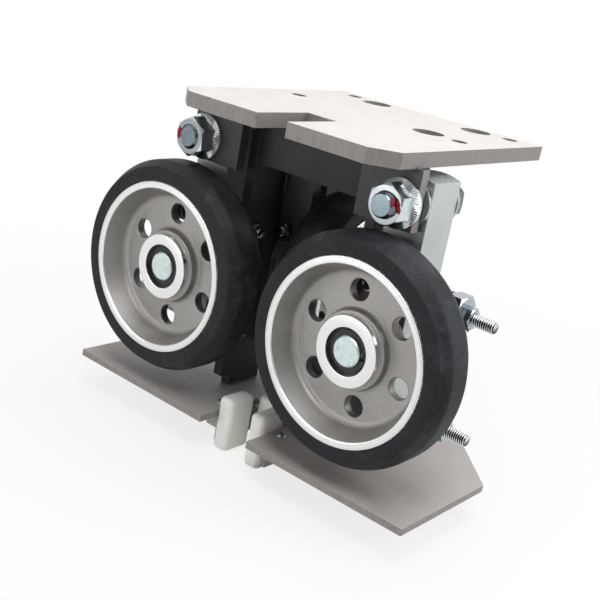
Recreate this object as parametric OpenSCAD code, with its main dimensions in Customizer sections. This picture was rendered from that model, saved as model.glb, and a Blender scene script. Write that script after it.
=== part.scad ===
// Roller guide shoe for a lift car: three sprung rubber-tyred rollers hang under a notched
// base plate and run on the blade and the nose of a T-section guide rail.
// Origin: centre of the base plate's top face. +Z up, the rail enters from the front, -Y.

/* [Guide rail] */
// Thickness of the rail blade between the two side rollers
rail_blade = 16; // [12:0.5:20]
// How far the rail nose reaches behind the front edge of the base plate
rail_reach = 45; // [42:0.5:48]
// Free gap between each tyre and the rail at rest
rail_free = 0.5; // [0.3:0.1:1.5]

/* [Base plate] */
// Width of the base plate
base_w = 180; // [176:1:230]
// Depth of the base plate, front to back
base_d = 190; // [184:1:240]
// Thickness of the base plate
base_t = 10; // [8:0.5:12]
// Width of the cut front corners
corner_w = 16; // [6:1:30]
// Depth of the cut front corners
corner_d = 14; // [6:1:30]
// Width of the rail notch
notch_w = 25; // [22:0.5:32]
// Depth of the rail notch
notch_d = 50; // [49:0.5:54]

/* [Base holes] */
// Diameter of the large fixing holes
bolt_hole_d = 22; // [13:0.5:24]
// Distance between the two rear large holes
bolt_span = 89; // [84:0.5:96]
// Distance of the rear large holes from the back edge
bolt_back = 17; // [14:0.5:24]
// Distance of the front large hole from the rear row
bolt_pitch = 63; // [50:0.5:70]
// Diameter of the small fixing holes
fix_hole_d = 11; // [6:0.5:12]
// Distance across between the small holes
fix_span = 140; // [130:1:150]
// Distance of the rear small holes from the back edge
fix_back = 12; // [9:0.5:16]
// Distance between the two rows of small holes
fix_pitch = 69; // [60:1:76]

/* [Rollers] */
// Tread diameter of the tyres
tyre_d = 150; // [140:1:156]
// Width of the tyres
tyre_w = 34; // [32:0.5:38]
// Height of the bevel between sidewall and tread
bevel_h = 5; // [3:0.5:7]
// Width of the bevel along the axle
bevel_w = 9; // [6:0.5:11]
// Rounding of the tyre's edges
tyre_soft = 0.8; // [0.4:0.1:1]
// Step back of the tyre's front sidewall behind the rim
sidewall_step = 1; // [0.5:0.1:1.5]
// Height of the rubber between rim and tread
rubber_h = 15; // [13:0.5:17]
// Width of the bright turned ring on the rim
rim_ring = 4.5; // [4:0.5:8]
// Depth of the dish in front of the web
dish_depth = 17.5; // [15:0.5:19]
// Lean of the dish wall from the rim ring in to the web
dish_lean = 6; // [3:0.5:7]
// Fillet between dish wall and web
dish_fillet = 5; // [3:0.5:8]
// Fillet between web and hub boss, and behind the rim
boss_fillet = 3; // [2:0.5:4]
// Broken edge of the turned rim ring and hub face
turned_edge = 0.8; // [0.4:0.1:1]
// Thickness of the web
web_t = 7; // [5:0.5:8]
// Number of lightening holes in the web
web_holes = 6; // [4:1:8]
// Diameter of the lightening holes
web_hole_d = 14; // [10:0.5:16]
// Rounding at the mouths of the lightening holes
web_hole_break = 1; // [0.5:0.1:1.5]
// Turn of the right wheel at rest
right_turn = 40; // [0:1:59]
// Turn of the left wheel at rest
left_turn = 27; // [0:1:59]

/* [Hubs and axles] */
// Diameter of the turned hub face
hub_d = 46; // [42:0.5:48]
// Sink of the hub face behind the rim
hub_sink = 6; // [4:0.5:7]
// Length of the turned hub nose
hub_nose = 5; // [4:0.5:5.5]
// Step of the hub boss outside its turned nose
hub_step = 2.5; // [2:0.25:4]
// Diameter of the dust opening in the hub face
hub_mouth_d = 31; // [30:0.5:34]
// Outer diameter of the ball bearings
bearing_d = 42; // [40:0.5:43]
// Width of one ball bearing
bearing_w = 12; // [11:0.5:12]
// Broken edge of a bearing's outer race
bearing_edge = 0.6; // [0.4:0.1:0.8]
// Bore of the ball bearings and diameter of the axle
axle_d = 20; // [18:0.5:20]
// Diameter of the axle's tail in the lever
tail_d = 16; // [14:0.5:16]
// Diameter of the axle's collar between bearing and lever
collar_d = 28; // [26:0.5:32]
// Thickness of the retaining ring
ring_t = 1.2; // [1:0.1:1.5]
// Outer diameter of the retaining ring
ring_d = 27; // [26:0.5:28]
// Depth of the retaining ring's groove
groove_h = 0.6; // [0.4:0.1:0.8]
// Width of the open gap in the retaining ring
ring_gap = 5; // [3:0.5:7]
// Height of a bearing race's face
race_h = 3; // [2.5:0.25:3.5]
// Sink of a bearing's seal behind its races
seal_sink = 0.4; // [0.2:0.1:0.6]
// Bevel at the ends of the axles
axle_break = 1; // [0.5:0.1:1.5]
// Axle end standing out of its nut
axle_end = 3; // [2:0.5:5]

/* [Levers] */
// Side of the square lever bar
lever_w = 30; // [28:0.5:32]
// Gap between the back of a tyre and its lever
lever_gap = 9; // [8:0.5:12]
// Depth of the pivot axis below the base plate's top face
pivot_drop = 33; // [31:0.5:35]
// Gap between a tyre and the pivot nut above it
tyre_gap = 2; // [1:0.5:6]
// Lever shoulder above the pivot axis
lever_head = 15; // [13:0.5:16]
// Rise of the arched lever end above its shoulders
lever_arch = 2.6; // [2:0.1:5]
// Length of the lever below the roller axis
lever_tail = 58; // [54:0.5:62]
// Largest outward swing of a lever in degrees
swing = 3; // [2:0.25:3.5]
// Outer diameter of the bronze pivot bush
bush_d = 20; // [19.5:0.5:22]

/* [Frame plates] */
// Thickness of the welded frame plates
plate_t = 8; // [6:0.5:9]
// Reach of an ear inboard of its pivot
ear_in = 32.5; // [28:0.5:34]
// Reach of an ear outboard of its pivot
ear_out = 11.5; // [10:0.5:13]
// Height of the ears below the base plate
ear_h = 39; // [36:0.5:39.5]
// Gap between the side plates and the rear lever
side_gap = 3.5; // [2:0.5:6]
// Height of the cross plate below the base plate
cross_h = 33.5; // [28:0.5:36]
// Gap between the side plates' lower edge and the guard plate
foot_h = 9; // [6:0.5:12]
// Inset of the welded foot from the side plate's edges
foot_inset = 10; // [6:1:14]
/* [Guard plate] */
// Width of the guard plate
guard_w = 302; // [280:1:330]
// Depth of the guard plate
guard_d = 146; // [140:1:160]
// Thickness of the guard plate
guard_t = 5; // [4:0.5:6]
// Gap between the tyres and the guard plate
guard_gap = 14; // [10:0.5:20]
// Set-back of the guard plate's front edge behind the base plate's
guard_back = 4; // [0:0.5:10]
// Size of the cut rear corners
guard_cut = 48; // [30:1:60]

/* [Emergency pads] */
// Gap between the two side pads
pad_gap = 17; // [16.6:0.2:20]
// Thickness of the pads
pad_t = 13; // [11:0.5:14]
// Depth of the side pads
pad_d = 24.5; // [22:0.5:26]
// Height of the pads
pad_h = 40; // [36:0.5:42]
// Rise of the pads above the guard plate
pad_rise = 12; // [8:0.5:14]
// Rounding of the pads' edges
pad_round = 3; // [1.5:0.25:4]
// Set-back of the side pads behind the base plate's front edge
pad_back = 20; // [16:0.5:22]
// Clearance between the rail nose and the nose pad
nose_free = 1.5; // [1:0.25:3]
// Sheet thickness of the pad bracket
bracket_t = 3; // [2:0.5:4]
// Set-back of the bracket's walls behind the pads' front
bracket_set = 5; // [4:0.5:6]
// Set-back of the bracket's flanges behind the pads' front
bracket_lead = 2; // [1:0.5:3]
// Height of the lips at the front of the bracket's flanges
bracket_lip_h = 9; // [6:0.5:10]
// Width of the lips at the front of the bracket's flanges
bracket_lip_w = 10; // [8:0.5:14]
// Width of the bracket's fixing flanges
bracket_flange = 16; // [14:0.5:22]

/* [Pivot hardware] */
// Thread diameter of the pivot bolts
pivot_d = 16; // [14:0.5:16]
// Width across flats of the pivot nuts and bolt heads
pivot_af = 24; // [22:0.5:25]
// Flange diameter of the pivot nuts
pivot_flange_d = 32; // [30:0.5:34]
// Height of the pivot nuts
pivot_nut_h = 16; // [14:0.5:16]
// Height of the pivot bolts' heads
pivot_head_h = 10; // [8:0.5:11]
// Bolt length standing out of a pivot nut
pivot_end = 4.5; // [1:0.5:6]
// Bevel at the tips of the pivot bolts
pivot_break = 1; // [0.5:0.1:1.5]
// Thickness of the thrust washers on both sides of a lever
washer_t = 2.7; // [2:0.1:3]
// Diameter of the thrust washers
washer_d = 32; // [28:0.5:34]
// Thickness of the axle nuts
axle_nut_h = 13; // [10:0.5:14]

/* [Spring and stop studs] */
// Thread diameter of the studs
stud_d = 8; // [6:0.5:8]
// Height of the spring studs above the roller axes
spring_up = 32.5; // [28:0.5:36]
// Depth of the stop studs below the roller axes
stop_down = 43.5; // [38:0.5:45]
// Reach of the studs from the lever's outer face
stud_reach = 54; // [50:0.5:60]
// Stud end standing out of its inner nut
stud_tail = 2; // [1:0.5:4]
// Bevel at the tips of the studs
stud_break = 0.8; // [0.4:0.1:1.2]
// Width across flats of the stud nuts
stud_af = 13; // [12:0.5:14]
// Flange diameter of the stud nuts
stud_flange_d = 18; // [16:0.5:19]
// Height of the flanged stud nuts
stud_nut_h = 8; // [7:0.5:9]
// Height of the plain stud nuts
jam_h = 6.5; // [5:0.5:7]
// Thickness of the stop collars
stop_collar_t = 3.2; // [2.5:0.1:4]
// Length of the sleeves between levers and stop nuts
stop_sleeve_l = 16; // [12:0.5:18]
// Diameter of the clearance holes through the levers
lever_hole_d = 12; // [11:0.5:13]
// Set length of a spring between lever and spring nut
spring_l = 20.6; // [19:0.1:24]
// Outer diameter of a spring
spring_d = 24; // [22:0.5:25]
// Wire diameter of a spring
wire_d = 3.8; // [3:0.1:4]
// Turns of a spring
spring_turns = 3; // [2.5:0.25:3.5]
// Width across flats of the large spring nuts
spring_nut_af = 24; // [22:0.5:27]
// Thickness of the large spring nuts
spring_nut_h = 11; // [9:0.5:13]

/* [Small screws] */
// Thread diameter of the pad and bracket screws
screw_d = 4; // [4:0.5:5]
// Diameter of the screw heads
screw_head_d = 7; // [6.5:0.5:8]
// Height of the screw heads
screw_head_h = 2.2; // [2:0.2:3]
// Length that stays solid in front of a screw's end in a pad
screw_skin = 3; // [2.5:0.5:5]
// Height of the nuts under the bracket
screw_nut_h = 3; // [2.5:0.5:4]
// Width across flats of the nuts under the bracket
screw_nut_af = 7; // [6.5:0.5:8]
// Screw end standing out of a nut under the bracket
screw_end = 1; // [0.5:0.5:2]
// Set-back of the first bracket screw behind the pads' front
bracket_screw_back = 11.5; // [10.5:0.5:16]
// Distance between the bracket screws of one side
bracket_screw_pitch = 18; // [14:0.5:20]
// Distance of the bracket screws from the bracket's wall
bracket_screw_out = 5; // [5:0.5:9]
// Distance between the two screws of a side pad
side_screw_pitch = 10; // [10:0.5:12]
// Distance between the two screws of the nose pad
nose_screw_pitch = 9.2; // [9.2:0.2:9.6]

/* [Clearances] */
// Radial running clearance of shafts
run_fit = 0.03; // [0.02:0.01:0.08]
// Radial clearance of seated pieces
seat_fit = 0.01; // [0.01:0.01:0.03]
// Radial clearance of bolts in their holes
bolt_fit = 0.3; // [0.2:0.05:0.6]
// End play between faces that move past each other
end_play = 0.3; // [0.2:0.05:0.4]

/* [Hidden] */

stations = ["left", "right", "rear"];
steel = [0.60, 0.57, 0.55];
zinc = [0.78, 0.81, 0.80];
nylon = [0.90, 0.89, 0.84];
round_fn = 96;
over = 1;

roller_drop = pivot_drop + pivot_flange_d / 2 + tyre_gap + tyre_d / 2;
guard_drop = roller_drop + tyre_d / 2 + guard_gap;
rim_d = tyre_d - 2 * rubber_h;
dish_r = rim_d / 2 - rim_ring - dish_lean;
web_hole_pcd = hub_d / 2 + hub_step + dish_r;

// Station frame: x outward from the rail face, y from the tyre's mid plane to the lever, z up
axis_x = rail_free + tyre_d / 2;
front_y = -tyre_w / 2;
lever_y = tyre_w / 2 + lever_gap;
lever_back_y = lever_y + lever_w;
lever_mid_y = lever_y + lever_w / 2;
lever_in_x = axis_x - lever_w / 2;
lever_out_x = axis_x + lever_w / 2;
ear_back_y = lever_y - washer_t - end_play;
ear_y = ear_back_y - plate_t;
stop_end_x = lever_in_x - end_play;
stud_face_x = stop_end_x - stop_collar_t - stud_nut_h;
stud_plate_x = stud_face_x - plate_t;
side_x = rail_blade / 2 + stud_plate_x;
side_d = rail_reach + lever_in_x - side_gap - notch_d;
stud_end_x = lever_out_x + stud_reach;
spring_z = spring_up - roller_drop;
stop_z = -roller_drop - stop_down;
spring_seat_x = lever_out_x + end_play + spring_l;
stop_arm = roller_drop + stop_down - pivot_drop + stud_flange_d / 2;
stop_nut_x = lever_out_x + end_play + stop_arm * sin(swing) + stud_flange_d / 2 * sin(swing);
bearing_y = front_y + hub_sink + hub_nose;
bearing_step = bearing_w + seat_fit;
bearing_back_y = bearing_y + bearing_step + bearing_w;
guard_z = -guard_drop;
pad_out_x = pad_gap / 2 + pad_t;
nose_pad_y = behind(rail_reach + nose_free);
bracket_back_y = nose_pad_y + pad_t;
bracket_z = guard_z - guard_t;
rear_plate_y = behind(rail_reach) + stud_plate_x;
rear_plate_w = side_x - ear_back_y - end_play;
frame_y = behind(notch_d);
side_h = guard_drop - base_t - foot_h;
pad_below = pad_h - pad_rise - guard_t;
pad_screw_z = bracket_z - pad_below / 2;
screw_bite = pad_t - screw_skin;

// Distance behind the base plate's front edge, as a Y coordinate
function behind(d) = d - base_d / 2;

// Points of an arc, for profiles with fillets
function arc(c, r, a0, a1, n = 6) =
    [for (i = [0:n]) c + r * [cos(a0 + (a1 - a0) * i / n), sin(a0 + (a1 - a0) * i / n)]];

// Puts the station frame at the left, right or rear of the rail
module at_station(place) {
    if (place == "rear") translate([0, behind(rail_reach), 0]) rotate([0, 0, 90]) children();
    else mirror([place == "left" ? 1 : 0, 0, 0])
        translate([rail_blade / 2, behind(tyre_w / 2), 0]) children();
}

// Turned shape: profile of radius and distance along the roller axis, turned about Y
module turned() {
    rotate([-90, 0, 0]) rotate_extrude($fn = round_fn) children();
}

// Rod or hole along Y or X, starting at the given end
module along_y(d, l) rotate([-90, 0, 0]) cylinder(d = d, h = l, $fn = round_fn);
module along_x(d, l) rotate([0, 90, 0]) cylinder(d = d, h = l, $fn = round_fn);

// Hexagon bar with bevelled corners at its free end
module hex_end(af, h) {
    face_r = 0.97 * af / 2;
    intersection() {
        cylinder(r = af / 2 / cos(30), h = h, $fn = 6);
        cylinder(r1 = face_r + h / tan(30), r2 = face_r, h = h, $fn = round_fn);
    }
}

// Hexagon nut with a flange on its seat, seat at z = 0
module flange_nut(af, flange_d, h, bore) {
    rim_t = 0.16 * h;
    cone_t = 0.14 * h;
    difference() {
        union() {
            hex_end(af, h);
            cylinder(d = flange_d, h = rim_t, $fn = round_fn);
            translate([0, 0, rim_t]) cylinder(d1 = flange_d, d2 = af, h = cone_t, $fn = round_fn);
        }
        translate([0, 0, -over]) cylinder(d = bore, h = h + 2 * over, $fn = round_fn);
    }
}

// Plain ring, seat at z = 0
module ring(d, bore, h) {
    difference() {
        cylinder(d = d, h = h, $fn = round_fn);
        translate([0, 0, -over]) cylinder(d = bore, h = h + 2 * over, $fn = round_fn);
    }
}

// Block with all its edges rounded
module rounded_block(size, r) {
    intersection() {
        linear_extrude(size[2]) rounded_rect(size[0], size[1], r);
        translate([0, size[1], 0]) rotate([90, 0, 0])
            linear_extrude(size[1]) rounded_rect(size[0], size[2], r);
        rotate([90, 0, 90]) linear_extrude(size[0]) rounded_rect(size[1], size[2], r);
    }
}

module rounded_rect(w, h, r) {
    translate([r, 0]) square([w - 2 * r, h]);
    translate([0, r]) square([w, h - 2 * r]);
    for (x = [r, w - r], y = [r, h - r]) translate([x, y]) circle(r = r, $fn = 48);
}

// Base plate with the rail notch, cut front corners and fixing holes
module base_plate() {
    back_y = base_d / 2;
    outline = [
        [-notch_w / 2, behind(0)], [-notch_w / 2, behind(notch_d)],
        [notch_w / 2, behind(notch_d)], [notch_w / 2, behind(0)],
        [base_w / 2 - corner_w, behind(0)], [base_w / 2, behind(corner_d)],
        [base_w / 2, back_y], [-base_w / 2, back_y],
        [-base_w / 2, behind(corner_d)], [-base_w / 2 + corner_w, behind(0)]
    ];
    large = [
        [-bolt_span / 2, back_y - bolt_back], [bolt_span / 2, back_y - bolt_back],
        [bolt_span / 2, back_y - bolt_back - bolt_pitch]
    ];
    color(steel) translate([0, 0, -base_t]) difference() {
        linear_extrude(base_t) polygon(outline);
        for (p = large) translate([p[0], p[1], -over])
            cylinder(d = bolt_hole_d, h = base_t + 2 * over, $fn = round_fn);
        for (x = [-fix_span / 2, fix_span / 2], y = [0, fix_pitch])
            translate([x, back_y - fix_back - y, -over])
                cylinder(d = fix_hole_d, h = base_t + 2 * over, $fn = round_fn);
    }
}

// Pivot ear welded under the base plate
module ear(place) {
    color(steel) at_station(place) difference() {
        translate([axis_x - ear_in, ear_y, -base_t - ear_h])
            cube([ear_in + ear_out, plate_t, ear_h]);
        translate([axis_x, ear_y - over, -pivot_drop])
            along_y(pivot_d + 2 * bolt_fit, plate_t + 2 * over);
    }
}

// Stud holes through a plate of the frame, in the station frame
module stud_holes() {
    for (z = [spring_z, stop_z]) translate([stud_plate_x - over, lever_mid_y, z])
        along_x(stud_d + 2 * bolt_fit, plate_t + 2 * over);
}

// Room for the rear studs' nuts where they pass the left side plate
module rear_nut_room() {
    at_station("rear") for (z = [spring_z, stop_z]) translate([0, lever_mid_y, z]) {
        translate([stud_face_x, 0, 0])
            along_x(stud_flange_d + 2 * end_play, lever_in_x - stud_face_x);
        translate([stud_plate_x - jam_h, 0, 0])
            along_x(stud_af / cos(30) + 2 * end_play, jam_h);
    }
}

// Side plate between base plate and guard plate, with a welded foot
module side_plate(place) {
    outline = [
        [0, 0], [side_d, 0], [side_d, -side_h], [side_d - foot_inset, -side_h],
        [side_d - foot_inset, -side_h - foot_h], [foot_inset, -side_h - foot_h],
        [foot_inset, -side_h], [0, -side_h]
    ];
    color(steel) difference() {
        mirror([place == "left" ? 1 : 0, 0, 0]) translate([side_x, frame_y, -base_t])
            rotate([90, 0, 90]) linear_extrude(plate_t) polygon(outline);
        at_station(place) stud_holes();
        if (place == "left") rear_nut_room();
    }
}

// Cross plate behind the rail notch, between the side plates
module cross_plate() {
    color(steel) translate([-side_x, frame_y, -base_t - cross_h])
        cube([2 * side_x, plate_t, cross_h]);
}

// Plate that carries the rear roller's studs, welded to the left side plate
module rear_stud_plate() {
    plate_h = roller_drop + lever_tail - base_t;
    color(steel) difference() {
        translate([-side_x, rear_plate_y, -base_t - plate_h])
            cube([rear_plate_w, plate_t, plate_h]);
        at_station("rear") stud_holes();
    }
}

// Guard plate with the pad notch and cut rear corners
module guard_plate() {
    half = guard_w / 2;
    front = behind(guard_back);
    back = front + guard_d;
    slot = pad_out_x + end_play;
    slot_back = bracket_back_y + bracket_t;
    color(steel) translate([0, 0, guard_z - guard_t]) difference() {
        linear_extrude(guard_t) polygon([
            [-slot, front], [-slot, slot_back], [slot, slot_back], [slot, front],
            [half, front], [half, back - guard_cut], [half - guard_cut, back],
            [-half + guard_cut, back], [-half, back - guard_cut], [-half, front]
        ]);
        guard_screw_places() translate([0, 0, -over])
            cylinder(d = screw_d + 2 * bolt_fit, h = guard_t + 2 * over, $fn = round_fn);
    }
}

// Nylon emergency pad beside the rail blade
module side_pad(side) {
    color(nylon) mirror([side == "left" ? 1 : 0, 0, 0]) difference() {
        translate([pad_gap / 2, behind(pad_back), guard_z + pad_rise - pad_h])
            rounded_block([pad_t, pad_d, pad_h], pad_round);
        side_pad_screw_places()
            translate([pad_out_x - screw_bite, 0, 0]) along_x(screw_d + 2 * seat_fit, pad_t);
    }
}

// Nylon emergency pad facing the rail nose
module nose_pad() {
    color(nylon) difference() {
        translate([-pad_gap / 2 + end_play, nose_pad_y, guard_z + pad_rise - pad_h])
            rounded_block([pad_gap - 2 * end_play, pad_t, pad_h], pad_round);
        nose_pad_screw_places()
            translate([0, -screw_bite, 0]) along_y(screw_d + 2 * seat_fit, pad_t);
    }
}

// Places of the screws that hold bracket and pads
module guard_screw_places() {
    out_x = pad_out_x + bracket_t + bracket_screw_out;
    first_y = behind(pad_back + bracket_screw_back);
    for (x = [-out_x, out_x], y = [0, bracket_screw_pitch])
        translate([x, first_y + y, 0]) children();
}

module side_pad_screw_places() {
    for (y = [-side_screw_pitch / 2, side_screw_pitch / 2])
        translate([0, behind(pad_back + (pad_d + bracket_set) / 2) + y, pad_screw_z]) children();
}

module nose_pad_screw_places() {
    for (x = [-nose_screw_pitch / 2, nose_screw_pitch / 2])
        translate([x, bracket_back_y, pad_screw_z]) children();
}

// Folded bracket that holds the three pads under the guard plate
module pad_bracket() {
    wall_h = pad_below - pad_round;
    wall_y = behind(pad_back + bracket_set);
    lead_y = behind(pad_back + bracket_lead);
    back_y = bracket_back_y + bracket_t;
    color(steel) difference() {
        union() {
            for (side = [0, 1]) mirror([side, 0, 0]) {
                translate([pad_out_x, wall_y, bracket_z - wall_h])
                    cube([bracket_t, back_y - wall_y, wall_h]);
                translate([pad_out_x, lead_y, bracket_z - bracket_t])
                    cube([bracket_t + bracket_flange, back_y - lead_y, bracket_t]);
                translate([pad_out_x, lead_y, bracket_z - bracket_lip_h])
                    cube([bracket_lip_w, wall_y - lead_y + over, bracket_lip_h]);
            }
            translate([-pad_out_x - bracket_t, bracket_back_y, bracket_z - wall_h])
                cube([2 * (pad_out_x + bracket_t), bracket_t, wall_h]);
        }
        for (side = [0, 1]) mirror([side, 0, 0]) side_pad_screw_places()
            translate([pad_out_x - over, 0, 0])
                along_x(screw_d + 2 * bolt_fit, bracket_t + 2 * over);
        nose_pad_screw_places() translate([0, -over, 0])
            along_y(screw_d + 2 * bolt_fit, bracket_t + 2 * over);
        guard_screw_places() translate([0, 0, bracket_z - bracket_t - over])
            cylinder(d = screw_d + 2 * bolt_fit, h = bracket_t + 2 * over, $fn = round_fn);
    }
}

// Screws through the bracket into the pads
module pad_screws() {
    color(zinc) {
        for (side = [0, 1]) mirror([side, 0, 0]) side_pad_screw_places() {
            translate([pad_out_x - screw_bite, 0, 0]) along_x(screw_d, screw_bite + bracket_t);
            translate([pad_out_x + bracket_t, 0, 0]) along_x(screw_head_d, screw_head_h);
        }
        nose_pad_screw_places() {
            translate([0, -screw_bite, 0]) along_y(screw_d, screw_bite + bracket_t);
            translate([0, bracket_t, 0]) along_y(screw_head_d, screw_head_h);
        }
    }
}

// Screws and nuts that hold the bracket under the guard plate
module guard_screws() {
    nut_z = -guard_t - bracket_t - screw_nut_h;
    color(zinc) guard_screw_places() translate([0, 0, guard_z]) {
        cylinder(d1 = screw_head_d, d2 = screw_head_d - screw_head_h, h = screw_head_h,
                 $fn = round_fn);
        translate([0, 0, nut_z - screw_end])
            cylinder(d = screw_d, h = screw_end - nut_z, $fn = round_fn);
        translate([0, 0, nut_z])
            cylinder(r = screw_nut_af / 2 / cos(30), h = screw_nut_h, $fn = 6);
    }
}

// Pivot bolt: hexagon head behind the lever, plain shank through lever and ear
module pivot_bolt(place) {
    head_y = lever_back_y + end_play + washer_t;
    tip_y = ear_y - pivot_nut_h - pivot_end;
    color(zinc) at_station(place) translate([axis_x, 0, -pivot_drop]) {
        translate([0, head_y, 0]) rotate([-90, 0, 0]) hex_end(pivot_af, pivot_head_h);
        translate([0, tip_y + pivot_break, 0]) along_y(pivot_d, head_y - tip_y - pivot_break);
        translate([0, tip_y, 0]) rotate([-90, 0, 0])
            cylinder(d1 = pivot_d - 2 * pivot_break, d2 = pivot_d, h = pivot_break, $fn = round_fn);
    }
}

module pivot_nut(place) {
    color(zinc) at_station(place) translate([axis_x, ear_y, -pivot_drop]) rotate([90, 0, 0])
        flange_nut(pivot_af, pivot_flange_d, pivot_nut_h, pivot_d + 2 * seat_fit);
}

// Thrust washers between the ears and the levers, and under the bolt heads
module pivot_washers() {
    color(zinc) for (place = stations, y = [ear_back_y, lever_back_y + end_play]) at_station(place)
        translate([axis_x, y, -pivot_drop]) rotate([-90, 0, 0])
            ring(washer_d, pivot_d + 2 * bolt_fit, washer_t);
}

// Threaded stud through frame plate and lever
module stud(place, z) {
    tail_x = stud_plate_x - jam_h - stud_tail;
    color(zinc) at_station(place) translate([0, lever_mid_y, z]) {
        translate([tail_x, 0, 0]) along_x(stud_d, stud_end_x - tail_x - stud_break);
        translate([stud_end_x - stud_break, 0, 0]) rotate([0, 90, 0])
            cylinder(d1 = stud_d, d2 = stud_d - 2 * stud_break, h = stud_break, $fn = round_fn);
    }
}

// Flanged nut on a stud, with its seat at x
module stud_nut(x, z) {
    translate([x, lever_mid_y, z]) rotate([0, 90, 0])
        flange_nut(stud_af, stud_flange_d, stud_nut_h, stud_d + 2 * seat_fit);
}

// Flanged nuts: one holds each stud to its plate, one on each stop stud limits the lever
module stud_nuts() {
    color(zinc) for (place = stations) at_station(place) {
        for (z = [spring_z, stop_z]) stud_nut(stud_face_x, z);
        stud_nut(stop_nut_x + stop_sleeve_l, stop_z);
    }
}

// Plain hexagon nut on a stud, with its seat at x, facing outward (1) or inward (-1)
module plain_nut(x, z, af, h, facing = 1) {
    translate([x, lever_mid_y, z]) rotate([0, 90 * facing, 0]) difference() {
        hex_end(af, h);
        translate([0, 0, -over])
            cylinder(d = stud_d + 2 * seat_fit, h = h + 2 * over, $fn = round_fn);
    }
}

// Plain nuts that lock the studs behind their plates, the spring nuts and the stop nuts
module jam_nuts() {
    color(zinc) for (place = stations) at_station(place) {
        for (z = [spring_z, stop_z]) plain_nut(stud_plate_x, z, stud_af, jam_h, -1);
        plain_nut(spring_seat_x + spring_nut_h, spring_z, stud_af, jam_h);
        plain_nut(stop_nut_x + stop_sleeve_l + stud_nut_h, stop_z, stud_af, jam_h);
    }
}

// Large nuts that set and carry the springs
module spring_nuts() {
    color(zinc) for (place = stations) at_station(place)
        plain_nut(spring_seat_x, spring_z, spring_nut_af, spring_nut_h);
}

// Collars that the levers rest against, and sleeves that end their swing, on the stop studs
module stop_collars() {
    bore_d = stud_d + 2 * bolt_fit;
    color(zinc) for (place = stations) at_station(place) translate([0, lever_mid_y, stop_z]) {
        translate([stop_end_x - stop_collar_t, 0, 0]) rotate([0, 90, 0])
            ring(stud_flange_d, bore_d, stop_collar_t);
        translate([stop_nut_x, 0, 0]) rotate([0, 90, 0])
            ring(stud_flange_d, bore_d, stop_sleeve_l);
    }
}

// Coil spring with closed ends, swept along its stud
module spring(place) {
    sides = 8;
    per_turn = 20;
    rings = ceil(spring_turns * per_turn);
    coil_r = (spring_d - wire_d) / 2;
    pitch_l = spring_l - wire_d;
    points = [for (i = [0:rings], k = [0:sides - 1])
        let (t = 360 * spring_turns * i / rings, w = 360 * k / sides,
             r = coil_r + wire_d / 2 * cos(w))
        [wire_d / 2 + pitch_l * i / rings + wire_d / 2 * sin(w), r * cos(t), r * sin(t)]];
    walls = [for (i = [0:rings - 1], k = [0:sides - 1])
        let (a = i * sides + k, b = i * sides + (k + 1) % sides)
        [a, b, b + sides, a + sides]];
    caps = [[for (k = [sides - 1:-1:0]) k], [for (k = [0:sides - 1]) rings * sides + k]];
    color([0.25, 0.26, 0.27]) at_station(place)
        translate([lever_out_x + end_play, lever_mid_y, spring_z])
            polyhedron(points, concat(walls, caps));
}

// Square lever bar with arched top end
module lever(place) {
    shoulder_z = lever_head - pivot_drop;
    foot_z = -roller_drop - lever_tail;
    arch_r = (lever_w * lever_w / 4 + lever_arch * lever_arch) / (2 * lever_arch);
    color(zinc) at_station(place) difference() {
        translate([axis_x, lever_back_y, 0]) rotate([90, 0, 0]) linear_extrude(lever_w)
            union() {
                translate([-lever_w / 2, foot_z]) square([lever_w, shoulder_z - foot_z]);
                intersection() {
                    translate([-lever_w / 2, shoulder_z - over])
                        square([lever_w, lever_arch + 2 * over]);
                    translate([0, shoulder_z + lever_arch - arch_r])
                        circle(r = arch_r, $fn = round_fn);
                }
            }
        translate([axis_x, lever_y - over, -pivot_drop])
            along_y(bush_d + 2 * seat_fit, lever_w + 2 * over);
        translate([axis_x, lever_y - over, -roller_drop])
            along_y(tail_d + 2 * seat_fit, lever_w + 2 * over);
        for (z = [spring_z, stop_z]) translate([lever_in_x - over, lever_mid_y, z])
            along_x(lever_hole_d, lever_w + 2 * over);
    }
}

module bush(place) {
    color([0.72, 0.53, 0.28]) at_station(place) translate([axis_x, lever_y, -pivot_drop])
        rotate([-90, 0, 0]) ring(bush_d, pivot_d + 2 * run_fit, lever_w);
}

// Stepped axle: bearing seat with ring groove, collar and threaded tail
module axle(place) {
    r = axle_d / 2;
    tail_r = tail_d / 2;
    face_y = front_y + hub_sink + end_play;
    groove_y = bearing_y - end_play - ring_t;
    end_y = lever_back_y + axle_nut_h + axle_end;
    color(zinc) at_station(place) translate([axis_x, 0, -roller_drop]) turned() polygon([
        [0, face_y], [r - axle_break, face_y], [r, face_y + axle_break], [r, groove_y],
        [r - groove_h, groove_y], [r - groove_h, groove_y + ring_t], [r, groove_y + ring_t],
        [r, bearing_back_y + end_play], [collar_d / 2, bearing_back_y + end_play],
        [collar_d / 2, lever_y], [tail_r, lever_y], [tail_r, end_y - axle_break],
        [tail_r - axle_break, end_y], [0, end_y]
    ]);
}

module axle_nut(place) {
    color(zinc) at_station(place) translate([axis_x, lever_back_y, -roller_drop])
        rotate([-90, 0, 0]) difference() {
            hex_end(pivot_af, axle_nut_h);
            translate([0, 0, -over])
                cylinder(d = tail_d + 2 * seat_fit, h = axle_nut_h + 2 * over, $fn = round_fn);
        }
}

// Retaining ring in the axle's groove, in front of the bearings
module retaining_ring(place) {
    color([0.35, 0.36, 0.37]) at_station(place)
        translate([axis_x, bearing_y - end_play - ring_t, -roller_drop]) rotate([-90, 0, 0])
            difference() {
                ring(ring_d, axle_d - 2 * groove_h + 2 * seat_fit, ring_t);
                translate([0, -ring_gap / 2, -over]) cube([ring_d, ring_gap, ring_t + 2 * over]);
            }
}

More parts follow.
